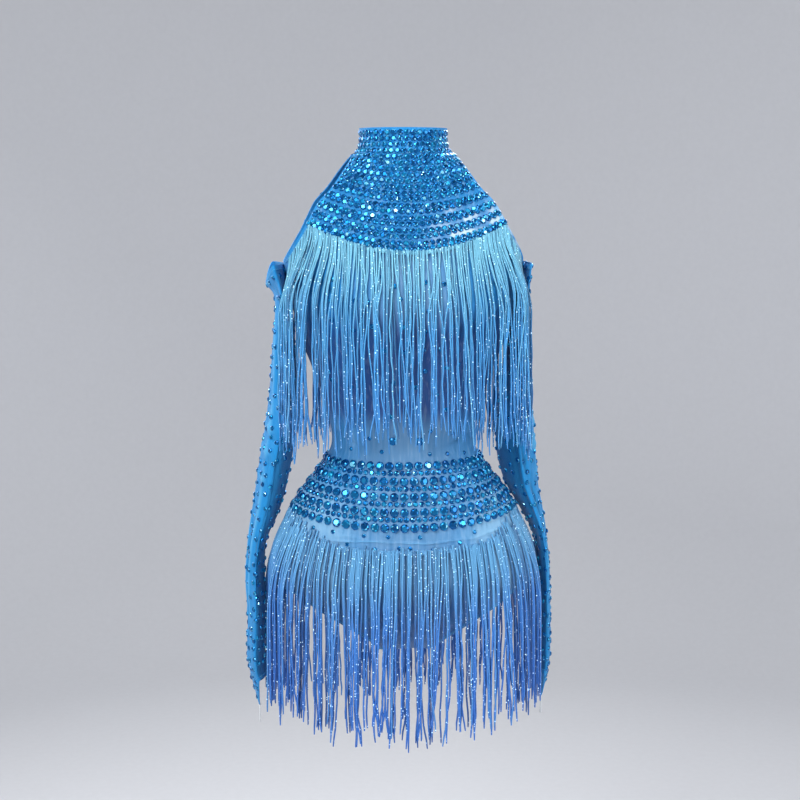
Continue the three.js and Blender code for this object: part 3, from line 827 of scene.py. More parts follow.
def cord_material(name, root, middle, tip):
    """Metallic chainette cord: plaited bands, lighter at the top, painted shade on the strands that hang
    nearer the cloth, and sparse glitter painted as glowing glints.
    """
    nodes = MaterialNodes(name, Sheen_Weight=0.2, Sheen_Roughness=0.35, Coat_Weight=0.1)
    along = nodes.attribute("along")
    tone = nodes.attribute("tone")
    upper = nodes.mix(nodes.step(along, 0.08, 0.5), root, middle)
    colour = nodes.mix(nodes.step(along, 0.4, 0.95), upper, tip)
    # Painted shade: a high tone, mostly on strands nearest the cloth, darkens a strand; the lowest tones
    # lighten it towards the root colour.
    colour = nodes.mix(nodes.step(tone, 0.4, 1.0) * 0.75, colour, tuple(0.35 * part for part in tip))
    colour = nodes.mix((1.0 - nodes.step(tone, 0.0, 0.3)) * 0.55, colour, root)
    nodes.set("Base Color", colour)
    nodes.set("Metallic", 0.15 + 0.2 * tone)
    nodes.set("Roughness", 0.34 + 0.2 * tone)
    # Glitter painted as light: rare small cells glow white-cyan.
    cells = {"Vector": nodes.place(), "Scale": 430.0}
    cell = nodes.node("ShaderNodeTexVoronoi", cells, output="Color")
    distance = nodes.node("ShaderNodeTexVoronoi", cells, output="Distance")
    rare = nodes.step(nodes.axis(cell, "X"), 0.8, 1.0)
    glint = rare * (1.0 - nodes.step(distance, 0.2, 0.42))
    nodes.set("Emission Color", nodes.mix(glint, (0.0, 0.0, 0.0), (0.68, 0.92, 1.0)))
    nodes.set("Emission Strength", 1.7)
    place = nodes.node("ShaderNodeUVMap", uv_map="UVMap")
    plait = nodes.math("ABSOLUTE", nodes.math("SINE", nodes.axis(place, "Y") * (math.pi / 0.0016)))
    nodes.bump(plait, 0.6, 0.0005)
    return nodes.material


def plain_material(name, colour, roughness, metallic=0.0, grain=900.0):
    """A near-uniform finish with a fine grain."""
    nodes = MaterialNodes(name, Metallic=metallic)
    grains = nodes.noise(nodes.place(), grain, 2.0)
    darker = tuple(0.76 * part for part in colour)
    nodes.set("Base Color", nodes.mix(grains, colour, darker))
    nodes.set("Roughness", roughness + 0.1 * grains)
    nodes.bump(grains, 0.15, 0.0003)
    return nodes.material


def body_rows():
    """Row numbers down a body panel, closer together where the lining's edge shows as a fine line."""
    coarse, fine = 2.9, 1.1
    ridge_top, ridge_foot, lowest = -474, -500, -636
    heights = [0.0]
    while heights[-1] > lowest:
        in_ridge = ridge_foot < heights[-1] < ridge_top
        heights.append(heights[-1] - (fine if in_ridge else coarse))
    rows = form.row_at(np.array(heights[:-1]))
    return np.concatenate([rows, np.linspace(rows[-1], LAST_ROW, 10)[1:]])


def crowded_shares(columns):
    """Shares from -1 to 1 that lie closer together towards both ends."""
    share = np.linspace(-1, 1, columns)
    return share * (1.42 - 0.42 * share**2)


def belt_ridge(angle, z):
    """Low welts under the belt's rows of large stones."""
    total = np.zeros(np.broadcast(angle, z).shape)
    for number in range(BELT["rows"]):
        total = total + BELT["welt"] * bell(z - belt_height(number, angle), BELT["welt_width"])
    return total


def belt_height(number, angle):
    """Height of a row of the belt; half numbers are the rows of small stones between them."""
    drop = BELT["centre_pitch"] - BELT["side_pitch"]
    return BELT["top"] - number * (BELT["side_pitch"] + drop * np.cos(angle) ** 2)


def body_grid(face, columns, start=None):
    """A body panel's points. start gives the angle of the inner edge of a half back, or None."""
    row = body_rows()[:, None]
    outer = reach(face, row)
    if start is None:
        angle = crowded_shares(columns)[None] * outer
    else:
        share = (crowded_shares(columns)[None] + 1) / 2
        angle = start(row) + share * (outer - start(row))
    row = np.broadcast_to(row, angle.shape)
    plain = skin(face, angle, row)
    normals = skin_normal(face, angle, row)
    ends = (row[:, 0] <= UNDERARM_ROW) | (row[:, 0] >= LEG_ROW)
    lines = [plain[ends, -1]] if start is not None else [plain[ends, 0], plain[ends, -1]]
    if start is not None:
        lines.append(plain[(plain[:, 0, 2] > KEYHOLE["bottom"]) & (np.abs(plain[:, 0, 0]) > 1), 0])
    edge = edge_distance(plain, lines)
    away = smooth(edge, 2, 14)
    fold = body_relief(face, plain[..., 0], plain[..., 2]) * away
    height = fold + belt_ridge(angle, plain[..., 2]) + hem_height(edge)
    return plain + normals * height[..., None], edge, fold


def make_front():
    grid, edge, fold = body_grid("front", 105)
    piece = cloth_sheet("mesh_front", grid, BODY_CLOTH, edge, fold)
    declare_sheet(grid)
    return piece


def make_back(side):
    def inner_edge(row):
        return angle_at(np.maximum(SEAM / 2, keyhole_half(form.at("z", row))), row)

    grid, edge, fold = body_grid("back", 57, inner_edge)
    if side < 0:
        grid = grid * np.array([-1, 1, 1])
    piece = cloth_sheet("mesh_back_" + ("left" if side > 0 else "right"), grid, BODY_CLOTH, edge, fold)
    declare_sheet(grid, spine=0)
    return piece


def collar_points(turn, row):
    """Points and normals round the collar; turn is 0 at centre front and 180 degrees at centre back."""
    in_front = np.abs(turn) <= math.pi / 2
    angle = np.where(in_front, turn, np.sign(turn) * (math.pi - np.abs(turn)))
    points = np.where(in_front[..., None], skin("front", angle, row), skin("back", angle, row))
    normals = skin_normal("front", angle, row), skin_normal("back", angle, row)
    return points, np.where(in_front[..., None], *normals)


def make_collar():
    end = math.pi - float(angle_at(CLOSURE_GAP / 2, 0))
    turn, row = np.meshgrid(np.linspace(-end, end, 181), np.linspace(0, COLLAR_LOW_ROW, 22))
    plain, normals = collar_points(turn, row)
    edge = edge_distance(plain, [plain[0]])
    wrinkle = 0.5 * np.sin(7 * turn + 1.3) * bell(plain[..., 2] - 5, 7)
    grid = plain + normals * (wrinkle + hem_height(edge + 1.5))[..., None]
    piece = cloth_sheet("collar_cloth", grid, BODY_CLOTH, edge, wrinkle)
    declare_sheet(grid)
    return piece


def make_sleeve(name, sleeve):
    heights = np.linspace(sleeve.table[0, 0], sleeve.table[-1, 0], 200)
    turn, row = np.meshgrid(np.radians(np.linspace(180, 540, 89)), sleeve.row_at(heights))
    plain, normals, height = sleeve.dressed(turn, row)
    edge = edge_distance(plain, [plain[0], plain[-1]])
    facing_body = smooth(-np.cos(turn), 0.1, 0.5)
    height = height + (np.minimum(height, 0.0) - height) * facing_body
    fold = height * smooth(edge, 1, 18)
    grid = plain + normals * (fold + hem_height(edge))[..., None]
    grid[:, -1] = grid[:, 0]
    # Painted shade over the inner half that faces the body, carried in the fold attribute.
    inner_half = smooth(-np.cos(turn), -0.1, 0.3)
    piece = cloth_sheet(name, grid, SLEEVE_CLOTH, edge, fold - INNER_SHADE * inner_half)
    declare_sheet(grid)
    return piece


def unit_stone():
    """A round faceted stone of radius 1: points, and its faces as lists of point numbers."""
    turn = np.arange(8) * (math.pi / 4)
    rings = ((1.0, 0.0, 0), (1.0, 0.16, 0), (0.8, 0.42, 0.5), (0.5, 0.58, 0))
    points = []
    for radius, height, twist in rings:
        angle = turn + twist * math.pi / 4
        points += np.stack([radius * np.cos(angle), radius * np.sin(angle), 0 * angle + height], 1).tolist()
    faces = [tuple(range(7, -1, -1)), tuple(range(24, 32))]
    for side in range(8):
        beside = (side + 1) % 8
        faces.append((side, beside, 8 + beside, 8 + side))
        faces.append((8 + side, 8 + beside, 16 + side))
        faces.append((8 + beside, 16 + beside, 16 + side))
        faces.append((16 + side, 24 + beside, 24 + side))
        faces.append((16 + side, 16 + beside, 24 + beside))
    return np.array(points), faces


def stone_cloud(name, points, normals, radii, seed):
    """One mesh of many stones, each lying on the cloth at its point; one radius may serve them all."""
    rng = np.random.default_rng(seed)
    shape, faces = unit_stone()
    count = len(points)
    up = unit(normals + rng.normal(0, 0.13, normals.shape))
    side = unit(np.cross(up, np.array([0.3, 0.2, 1.0])))
    ahead = np.cross(up, side)
    spin = rng.uniform(0, 2 * math.pi, count)[:, None]
    right = side * np.cos(spin) + ahead * np.sin(spin)
    front = np.cross(up, right)
    scaled = shape[None] * np.broadcast_to(radii, count)[:, None, None]
    base = points - up * 0.12
    cloud = (
        base[:, None]
        + scaled[..., :1] * right[:, None]
        + scaled[..., 1:2] * front[:, None]
        + scaled[..., 2:] * up[:, None]
    )
    all_faces = [
        tuple(number + stone * len(shape) for number in face) for stone in range(count) for face in faces
    ]
    piece = new_object(name, cloud.reshape(-1, 3), all_faces)
    # spark picks the facets that get painted reflections, sparkles and glow; tone varies each stone at
    # random.
    point_attribute(piece, "spark", rng.uniform(0, 1, count * len(faces)), "FACE")
    point_attribute(piece, "tone", np.repeat(rng.uniform(0, 1, count), len(faces)), "FACE")
    return finish_piece(piece, teal_stones(), "stones", smooth_angle=0)


def spread_along(points, normals, spacing):
    """Places at an even spacing along a line of points."""
    steps = np.linalg.norm(np.diff(points, axis=0), axis=-1)
    length = np.concatenate([[0], np.cumsum(steps)])
    count = max(1, int(length[-1] / spacing + 0.5))
    at = (np.arange(count) + 0.5) * length[-1] / count
    places = np.stack([np.interp(at, length, points[:, axis]) for axis in range(3)], axis=-1)
    leans = np.stack([np.interp(at, length, normals[:, axis]) for axis in range(3)], axis=-1)
    return places, unit(leans)


def yoke_row(face, number):
    """Points and normals along a row of the yoke, which sags between the armholes."""
    centre = YOKE["top"] - number * YOKE["pitch"]
    depth = (number - 2.8) / (YOKE["rows"] - 3.8)
    rise = YOKE["rise"] * depth
    edge = float(form.at(face + "_edge", form.row_at(centre + rise))) - 0.9
    share = np.linspace(-1, 1, 240)
    parted = 0.2 + 1.3 * np.clip(-share, 0, 1) ** 2 + 2.3 * np.clip(share, 0, 1) ** 1.3
    paired = parted * (1 if number % 2 else -1) * smooth(depth, 0.4, 0.52)
    z = centre + rise * share**2 + paired
    row = form.row_at(z)
    angle = angle_at(edge * share, row)
    points, normals = dressed_skin(face, angle, row)
    return points, normals


def yoke_stones(face, settings):
    """Places and normals of the stones below the collar, clear of the keyhole at the back."""
    places, leans = [], []
    for number in range(COLLAR_ROWS, YOKE["rows"]):
        points, normals = spread_along(*yoke_row(face, number), settings.yoke_pitch / MM)
        lift = FRINGE_BAND["outer"] if number == YOKE["rows"] - 1 else 0.0
        points = points + normals * lift
        if face == "back":
            clear = np.abs(points[:, 0]) > np.maximum(keyhole_half(points[:, 2]) + 4.5, 3.4)
            points, normals = points[clear], normals[clear]
        places.append(points)
        leans.append(normals)
    return np.concatenate(places), np.concatenate(leans)


def collar_stones(settings):
    places, leans = [], []
    end = math.pi - 0.09
    for number in range(COLLAR_ROWS):
        turn = np.linspace(-end, end, 300)
        row = form.row_at(np.full(300, YOKE["top"] - number * YOKE["pitch"]))
        points, normals = spread_along(*collar_points(turn, row), settings.yoke_pitch / MM)
        places.append(points)
        leans.append(normals)
    return np.concatenate(places), np.concatenate(leans)


def belt_stones(face, settings):
    """Rows of large stones with a row of small ones under each but the last."""
    places, leans, radii = [], [], []
    end = math.pi / 2 - 0.03
    angle = np.linspace(-end, end, 400)
    for half in range(2 * BELT["rows"] - 1):
        large = half % 2 == 0
        number = half / 2 if large else half / 2 - 0.035
        row = form.row_at(belt_height(number, angle))
        points = skin(face, angle, row)
        normals = skin_normal(face, angle, row)
        points = points + normals * belt_ridge(angle, points[..., 2])[:, None]
        spacing = settings.large_pitch if large else settings.small_pitch
        points, normals = spread_along(points, normals, spacing / MM)
        size = settings.large_size if large else settings.small_size
        places.append(points)
        leans.append(normals)
        radii.append(np.full(len(points), size / 2 / MM))
    return np.concatenate(places), np.concatenate(leans), np.concatenate(radii)


def scattered_stones(face, settings, seed):
    """Single stones on the bare cloth: those in view listed, those under the fringe at random."""
    rng = np.random.default_rng(seed)
    stones = [(x, z, LARGE_SINGLE) for x, z in LARGE_SINGLES]
    stones += [(x, z, SMALL_SINGLE) for x, z in WAIST_SINGLES + HIP_SINGLES]
    for z in np.arange(-160, -340, -27.0):
        for x in np.arange(-98, 99, 28.0):
            stones.append((x + rng.uniform(-9, 9), z + rng.uniform(-9, 9), settings.scatter_size / MM))
    x, z, size = np.array(stones).T
    if face == "back":
        x = -x + rng.uniform(-4, 4, len(x))
        keep = np.abs(x) > 4
        x, z, size = x[keep], z[keep], size[keep]
    row = form.row_at(z)
    inside = np.abs(x) < form.at("half", row) - 8
    x, row, size = x[inside], row[inside], size[inside]
    points, normals = dressed_skin(face, angle_at(x, row), row)
    return points, normals, size / 2


def sleeve_stones(sleeve, seed):
    """Stones over a whole sleeve, in staggered and shaken rows."""
    rng = np.random.default_rng(seed)
    round_count, pitch, margin = 12, 15.0, 5
    places, leans = [], []
    hem_z = sleeve.fine_z - sleeve.at("point", sleeve.fine)
    run = np.maximum.accumulate(hem_z[0] - hem_z)
    rows = np.interp(np.arange(margin, run[-1] - margin + 1, pitch), run, sleeve.fine)
    for number, row in enumerate(rows):
        shake = rng.uniform(-7, 7, round_count)
        turn = np.radians(np.arange(0, 360, 360 / round_count) + 15 * (number % 2) + shake)
        turn = turn[np.abs(np.cos(turn)) > 0.16]
        is_point = row > sleeve.last - 1.2
        turn = turn[np.cos(turn) > 0.3] if is_point else turn
        shaken = sleeve.row_at(sleeve.at("z", row) + rng.uniform(-4, 4, len(turn)) * (not is_point))
        shaken = np.full(len(turn), row) if is_point else shaken
        plain, normals, height = sleeve.dressed(turn, shaken)
        outer = np.cos(turn) > -0.1
        places.append(plain + normals * np.where(outer, height, np.minimum(height, 0))[:, None])
        leans.append(normals)
    return np.concatenate(places), np.concatenate(leans)


def fringe_root(face, line, share):
    """Angle and row where a share from -1 to 1 of a fringe's line is sewn on."""
    row = form.row_at(line["centre_z"] + line["rise"] * share**2)
    if line["edge_x"]:
        return angle_at(line["edge_x"] * share, row), row
    return (math.pi / 2 - 0.03) * share, row


def sleeve_reach(face, x, z):
    """How far a hanging sleeve stands out in front of or behind the line y = 0, at x and z."""
    depth = np.zeros(np.broadcast(x, z).shape)
    for sleeve in SLEEVES.values():
        row = sleeve.row_at(z)
        outer, inner = sleeve.at("outer", row), sleeve.at("inner", row)
        aside = np.abs(sleeve.sign * x - (outer + inner) / 2) / ((outer - inner) / 2 + 2)
        aside = np.clip(aside, 0, 1)
        swell = sleeve.at("half_y", row) * (1 - aside**SLEEVE_FOLD) ** (1 / SLEEVE_FOLD)
        stands = swell - sleeve.at("y", row) if face == "front" else swell + sleeve.at("y", row)
        depth = np.maximum(depth, np.where((aside < 1) & (z < -136), stands, 0))
    return depth


def fringe_paths(face, line, count, seed):
    """Centre lines of the strands of a fringe, and each strand's tone, mostly painted shade for strands
    nearer the cloth.

    Strands keep outside the form and the sleeves, gather in clumps towards their ends, cross and sway.
    """
    rng = np.random.default_rng(seed)
    even = np.sort((np.arange(count) + rng.uniform(0.1, 0.9, count)) / count * 2 - 1)
    share = even + line["crowding"] * np.sin(math.pi * even) / math.pi
    sizes = rng.integers(line["clump"][0], line["clump"][1], count)
    clump = np.repeat(np.arange(count), sizes)[:count]
    clumps = clump.max() + 1
    middle = np.array([share[clump == number].mean() for number in range(clumps)])
    row = fringe_root(face, line, share)[1]
    part = np.linspace(0, 1, FALL_SAMPLES)[None]
    length = line["length"] + line["side_extra"] * share**2
    length = length + rng.uniform(-0.5, 0.5, clumps)[clump] * line["uneven"]
    length = (length + rng.uniform(-0.5, 0.5, count) * line["uneven"])[:, None]
    sewn = form.at("z", row)[:, None]
    lift = rng.uniform(0.5, 3.5, count) + np.abs(rng.normal(0, line["shift"], count))
    lift = lift + line["lift"] * smooth(np.abs(share), 0.3, 0.7) * rng.uniform(0, 1, count)
    z = sewn + lift[:, None] - part * (length + lift[:, None])
    drift = rng.normal(0, line["drift"], clumps)[clump][:, None] * part
    stray = rng.normal(0, line["stray"], count)[:, None] * smooth(part, 0.05, 0.9)
    swing = z / rng.uniform(34, 80, count)[:, None] + rng.uniform(0, 1, count)[:, None]
    wave = rng.uniform(0.2, 1.0, count)[:, None] * part**0.6 * np.sin(2 * math.pi * swing)
    flick = (rng.normal(0, 2.0, count) ** 3 / 4).clip(-5, 5)[:, None] * smooth(part, 0.78, 1.0) ** 1.5
    crossing = rng.uniform(0.12, 0.5, count)[:, None]
    cross = rng.normal(0, line["cross"], count)[:, None] * bell(part - crossing, 0.16)
    aside = drift + stray + cross + wave + flick
    layer = rng.uniform(0, 1, count)[:, None]
    out = CORD_CLEARANCE + 0.4 + layer * (1.0 + line["thickness"] * smooth(part, 0, 0.5))
    out = out + np.abs(rng.normal(0, line["puff"], clumps))[clump][:, None] * smooth(part, 0.2, 1)
    out = out + FRINGE_BAND["outer"] * bell(z - sewn, 5)
    pull = (middle[clump] - share)[:, None] * line["gather"] * smooth(part, 0.02, line["gathered"])
    if line["edge_x"]:
        x, depth = chest_fall(face, line, share, z, part, pull, aside, out)
    else:
        x, depth = hip_fall(face, line, share, z, part, pull, aside, out, layer)
    y = -depth if face == "front" else depth
    lines = np.stack([x, y, z], axis=-1)
    at = np.linspace(0, FALL_SAMPLES - 1, CORD_RINGS)
    low = at.astype(int)
    high = np.minimum(low + 1, FALL_SAMPLES - 1)
    weight = (at - low)[None, :, None]
    # tone is mostly painted shade for strands nearer the cloth, with some random tone.
    tone = 0.65 * (1 - layer[:, 0]) + 0.35 * rng.uniform(0, 1, count)
    return lines[:, low] * (1 - weight) + lines[:, high] * weight, tone


def chest_fall(face, line, share, z, part, pull, aside, out):
    """x and depth of cords that spread beside the bust and slide over the sleeves."""
    angle, row = fringe_root(face, line, share)
    body_row = np.minimum(form.row_at(z), LEG_ROW)
    share = share[:, None]
    spread = line["spread"] * np.abs(share) ** 2.5 * smooth(z[:, :1] - z, 0, line["spread_over"])
    x = line["edge_x"] * (share + pull) + np.sign(share) * spread + aside
    lean = np.maximum(0.35, np.abs(skin_normal(face, angle, row)[:, 1]))[:, None]
    depth = np.abs(skin(face, angle_at(x, body_row), body_row)[..., 1]) + out / (lean + (1 - lean) * part)
    return x, settle(np.maximum(depth, sleeve_reach(face, x, z) + out))


def hip_fall(face, line, share, z, part, pull, aside, out, layer):
    """x and depth of cords that follow the hips round to the side seams and hang from there."""
    angle = fringe_root(face, line, share)[0]
    body_row = np.minimum(form.row_at(z), LEG_ROW)
    width = settle(form.at("half", body_row) + 1.5)
    swell = settle(form.at(face, body_row) + out)
    turned = np.clip(angle[:, None] + pull * 1.54 + aside / width, -1.56, 1.56)
    narrow = 1 + (out - 1.5) * np.abs(np.cos(turned)) / width
    x = width * np.sin(turned) * narrow
    depth = swell * np.cos(turned) + 0.3
    beside = smooth(depth, 22, 34) * smooth(np.abs(x), 110, 160) * smooth(part, 0.05, 0.5)
    return x + np.sign(x) * HIP_FLARE * beside * layer, depth


def settle(values):
    """Strands only ever move outwards as they fall, and turn smoothly."""
    values = np.maximum.accumulate(values, axis=1)
    for _ in range(3):
        padded = np.concatenate([values[:, :1], values, values[:, -1:]], axis=1)
        values = (padded[:, :-2] + 2 * padded[:, 1:-1] + padded[:, 2:]) / 4
    return values


def strand_tubes(paths, radius, sides):
    """Points, faces and UV of a tube round each path."""
    count, rings = paths.shape[:2]
    along = unit(np.gradient(paths, axis=1))
    outward = paths.mean(axis=1) * np.array([1, 1, 0])
    side = unit(np.cross(along, unit(outward)[:, None]))
    up = np.cross(side, along)
    turn = (np.arange(sides) + 0.5) / sides * 2 * math.pi
    size = np.full(rings, radius)
    size[-1] = 0.7 * radius
    ring = side[:, :, None] * np.cos(turn)[:, None] + up[:, :, None] * np.sin(turn)[:, None]
    points = paths[:, :, None] + ring * size[None, :, None, None]
    faces = []
    per_strand = rings * sides
    column = np.arange(sides)
    beside = (column + 1) % sides
    level = np.arange(rings - 1)[:, None] * sides
    quads = np.stack(
        [level + column, level + beside, level + sides + beside, level + sides + column], axis=-1
    ).reshape(-1, 4)
    for strand in range(count):
        start = strand * per_strand
        faces += (quads + start).tolist()
        faces.append((start + np.arange(sides)[::-1]).tolist())
        faces.append((start + per_strand - sides + column).tolist())
    steps = np.linalg.norm(np.diff(paths, axis=1), axis=-1)
    run = np.concatenate([np.zeros((count, 1)), np.cumsum(steps, axis=1)], axis=1) * MM
    v = np.broadcast_to(run[:, :, None], (count, rings, sides))
    u = np.broadcast_to(turn / (2 * math.pi), (count, rings, sides))
    return points.reshape(-1, 3), faces, np.stack([u, v], axis=-1).reshape(-1, 2)


def band_mesh(face, line):
    """The narrow tape that a fringe's cords are sewn to: points and faces of a closed strip."""
    share = np.linspace(-1, 1, 161)
    angle, row = fringe_root(face, line, share)
    z = form.at("z", row)
    corners = []
    half = FRINGE_BAND["height"] / 2
    outline = ((half, 0.4), (half, 1.8), (half - 0.5, 2.2), (0.5 - half, 2.2), (-half, 1.8), (-half, 0.4))
    for lift, offset in outline:
        lifted = form.row_at(z + lift)
        corners.append(skin(face, angle, lifted) + skin_normal(face, angle, lifted) * offset)
    points = np.stack(corners, axis=1)
    sides = len(outline)
    faces = []
    for column in range(len(share) - 1):
        here = column * sides
        for side in range(sides):
            beside = (side + 1) % sides
            faces.append((here + side, here + beside, here + sides + beside, here + sides + side))
    last = (len(share) - 1) * sides
    faces.append(tuple(range(sides - 1, -1, -1)))
    faces.append(tuple(range(last, last + sides)))
    return points.reshape(-1, 3), faces


def armhole_paths(face, seed):
    """Strands sewn along the armholes beside the chest fringe, which slide out over the sleeves."""
    rng = np.random.default_rng(seed)
    count = 2 * ARMHOLE_CORDS["count"]
    along = np.tile(np.linspace(0.04, 1, ARMHOLE_CORDS["count"]), 2)
    sign = np.repeat([-1, 1], ARMHOLE_CORDS["count"])[:, None]
    along = np.clip(along + rng.uniform(-0.02, 0.02, count), 0, 1)
    top = ARMHOLE_CORDS["top"] - ARMHOLE_CORDS["drop"] * along
    root = form.at(face + "_edge", form.row_at(top)) - ARMHOLE_CORDS["inset"]
    slide = ARMHOLE_CORDS["slide"] * rng.uniform(0.55, 1.0, count) * (1 - 0.45 * along)
    length = ARMHOLE_CORDS["length"] + ARMHOLE_CORDS["uneven"] * rng.uniform(-1, 1, count)
    part = np.linspace(0, 1, FALL_SAMPLES)[None]
    z = top[:, None] - part * length[:, None]
    sway = rng.normal(0, 2.6, count)[:, None] * part
    sway = sway + 0.8 * np.sin(2 * math.pi * (z / 52 + rng.uniform(0, 1, count)[:, None])) * part
    slid = slide[:, None] * smooth(top[:, None] - z, 0, ARMHOLE_CORDS["slide_over"])
    wide = np.minimum(root[:, None] + slid + sway, ARMHOLE_CORDS["cover"])
    body_row = np.minimum(form.row_at(z), LEG_ROW)
    out = CORD_CLEARANCE + 0.5 + rng.uniform(0, 3, count)[:, None]
    depth = np.abs(skin(face, angle_at(wide, body_row), body_row)[..., 1]) + out
    depth = settle(np.maximum(depth, sleeve_reach(face, wide * sign, z) + out))
    lines = np.stack([wide * sign, -depth if face == "front" else depth, z], axis=-1)
    at = np.linspace(0, FALL_SAMPLES - 1, CORD_RINGS).astype(int)
    return lines[:, at], rng.uniform(0, 1, count)


def make_fringe(name, face, line, settings, seed):
    """One mesh of a fringe's tape and all its cords."""
    count = line["cords"][0 if face == "front" else 1]
    paths, tone = fringe_paths(face, line, count, seed)
    if line["edge_x"]:
        more, more_tone = armhole_paths(face, seed + 7)
        paths, tone = np.concatenate([paths, more]), np.concatenate([tone, more_tone])
    points, faces, uv = strand_tubes(paths, settings.cord_radius * line["size"] / MM, CORD_SIDES)
    band, band_faces = band_mesh(face, line)
    shifted = [tuple(number + len(points) for number in one) for one in band_faces]
    uv = np.concatenate([uv, band[:, [0, 2]] * MM])
    piece = new_object(name, np.concatenate([points, band]), faces + shifted, uv)
    along = np.linspace(0, 1, CORD_RINGS)[None, :, None]
    each = np.broadcast_to(along, (len(paths), CORD_RINGS, CORD_SIDES)).ravel()
    point_attribute(piece, "along", np.concatenate([each, np.zeros(len(band))]))
    tones = np.repeat(tone, CORD_RINGS * CORD_SIDES)
    point_attribute(piece, "tone", np.concatenate([tones, np.full(len(band), 0.4)]))
    return piece


def tube_piece(name, line, radius, sides):
    """A closed tube along one line of points, with even rings."""
    paths = np.asarray(line, float)[None]
    points, faces, uv = strand_tubes(paths, radius, sides)
    return new_object(name, points, faces, uv)


def join(pieces, name):
    make_active(pieces[0])
    for piece in pieces:
        piece.select_set(True)
    bpy.ops.object.join()
    pieces[0].name = name
    return pieces[0]


def loop_line(sleeve):
    """The path of the finger loop that hangs from a sleeve's point."""
    hand = dict(zip(SLEEVE_COLUMNS, sleeve.table[-1]))
    share = np.linspace(0, 1, 60)
    turn = 2 * math.pi * share
    swing = -LOOP["half_width"] * np.sin(turn) * np.sin(turn / 2)
    x = hand["outer"] - POINT_CURL * hand["point"] - SLEEVE_CLOTH / 2
    y = hand["y"] + swing + (share - 0.5) * LOOP["ends_apart"]
    top = hand["z"] - hand["point"] + 1.5
    z = top - (LOOP["drop"] / 2 + 0.8) * (1 - np.cos(turn))
    return np.stack([np.full(len(share), sleeve.sign * x), y, z], axis=-1)


def make_loop(name, sleeve):
    """Round white elastic, knotted where its two ends meet the sleeve's point."""
    line = loop_line(sleeve)
    loop = tube_piece(name, line, LOOP["radius"], 10)
    bpy.ops.mesh.primitive_uv_sphere_add(segments=16, ring_count=10, radius=LOOP["knot"] * MM)
    knot = bpy.context.object
    x, y, z = line[0]
    knot.data.transform(shift_by(x, y + LOOP["ends_apart"] / 2, z - 1.6))
    return join([loop, knot], name)


def shift_by(x, y, z):
    """A move by millimetres."""
    return Matrix.Translation(Vector((x * MM, y * MM, z * MM)))


def hook_and_eye(name, z):
    """A wire hook through a wire eye, across the gap between the collar's ends."""
    face = float(form.at("back", form.row_at(z))) + SEAM / 2 + 0.9
    wires = []
    for sign in (-1, 1):
        for lift in (-HOOK["ring_z"], HOOK["ring_z"]):
            bpy.ops.mesh.primitive_torus_add(
                major_radius=HOOK["ring"] * MM,
                minor_radius=HOOK["ring_wire"] * MM,
                major_segments=20,
                minor_segments=8,
            )
            ring = bpy.context.object
            ring.data.transform(Matrix.Rotation(math.pi / 2, 4, "X"))
            ring.data.transform(shift_by(sign * HOOK["ring_x"], face, z + lift))
            wires.append(ring)
    turn = np.linspace(0, 2 * math.pi, 33)
    eye = np.stack([-0.7 + 2.3 * np.cos(turn), 0 * turn + face, z + 1.1 * np.sin(turn)], axis=-1)
    wires.append(tube_piece(name + " eye", eye, HOOK["eye_wire"], 8))
    bend = np.linspace(-math.pi / 2, math.pi / 2, 12)
    shank = np.array([[3.0, face, z - 0.35], [1.4, face, z - 0.3]])
    nose = np.stack([0.2 - 0.8 * np.cos(bend), face + 0.1 + 0.35 * np.sin(bend), 0 * bend + z], axis=-1)
    wires.append(tube_piece(name + " hook", np.concatenate([shank, nose]), HOOK["hook_wire"], 8))
    return join(wires, name)


def stitch_line(points, normals, lift):
    """Short threads along a line, lying on the cloth: the ends of each stitch and its normal."""
    places, leans = spread_along(points, normals, STITCH["pitch"])
    ahead = unit(np.gradient(places, axis=0)) * STITCH["pitch"] * 0.33
    middle = places + leans * lift
    return middle - ahead, middle + ahead, leans


def make_stitches(name, lines):
    """All the stitches of a garment's hems as one mesh of small four-sided threads."""
    radius = STITCH["radius"]
    starts, ends, leans = (np.concatenate(part) for part in zip(*lines))
    along = unit(ends - starts)
    side = unit(np.cross(along, leans))
    up = np.cross(side, along)
    corners = []
    for centre, lift in ((starts, -0.1), ((starts + ends) / 2, 0.12), (ends, -0.1)):
        for across, rise in ((-1, -0.6), (1, -0.6), (0.6, 1), (-0.6, 1)):
            corners.append(centre + side * across * radius + up * (rise * radius + lift))
    points = np.stack(corners, axis=1)
    faces = []
    for stitch in range(len(starts)):
        here = stitch * 12
        for ring in (here, here + 4):
            for number in range(4):
                beside = (number + 1) % 4
                faces.append((ring + number, ring + beside, ring + 4 + beside, ring + 4 + number))
        faces.append((here + 3, here + 2, here + 1, here))
        faces.append((here + 8, here + 9, here + 10, here + 11))
    return new_object(name, points.reshape(-1, 3), faces)


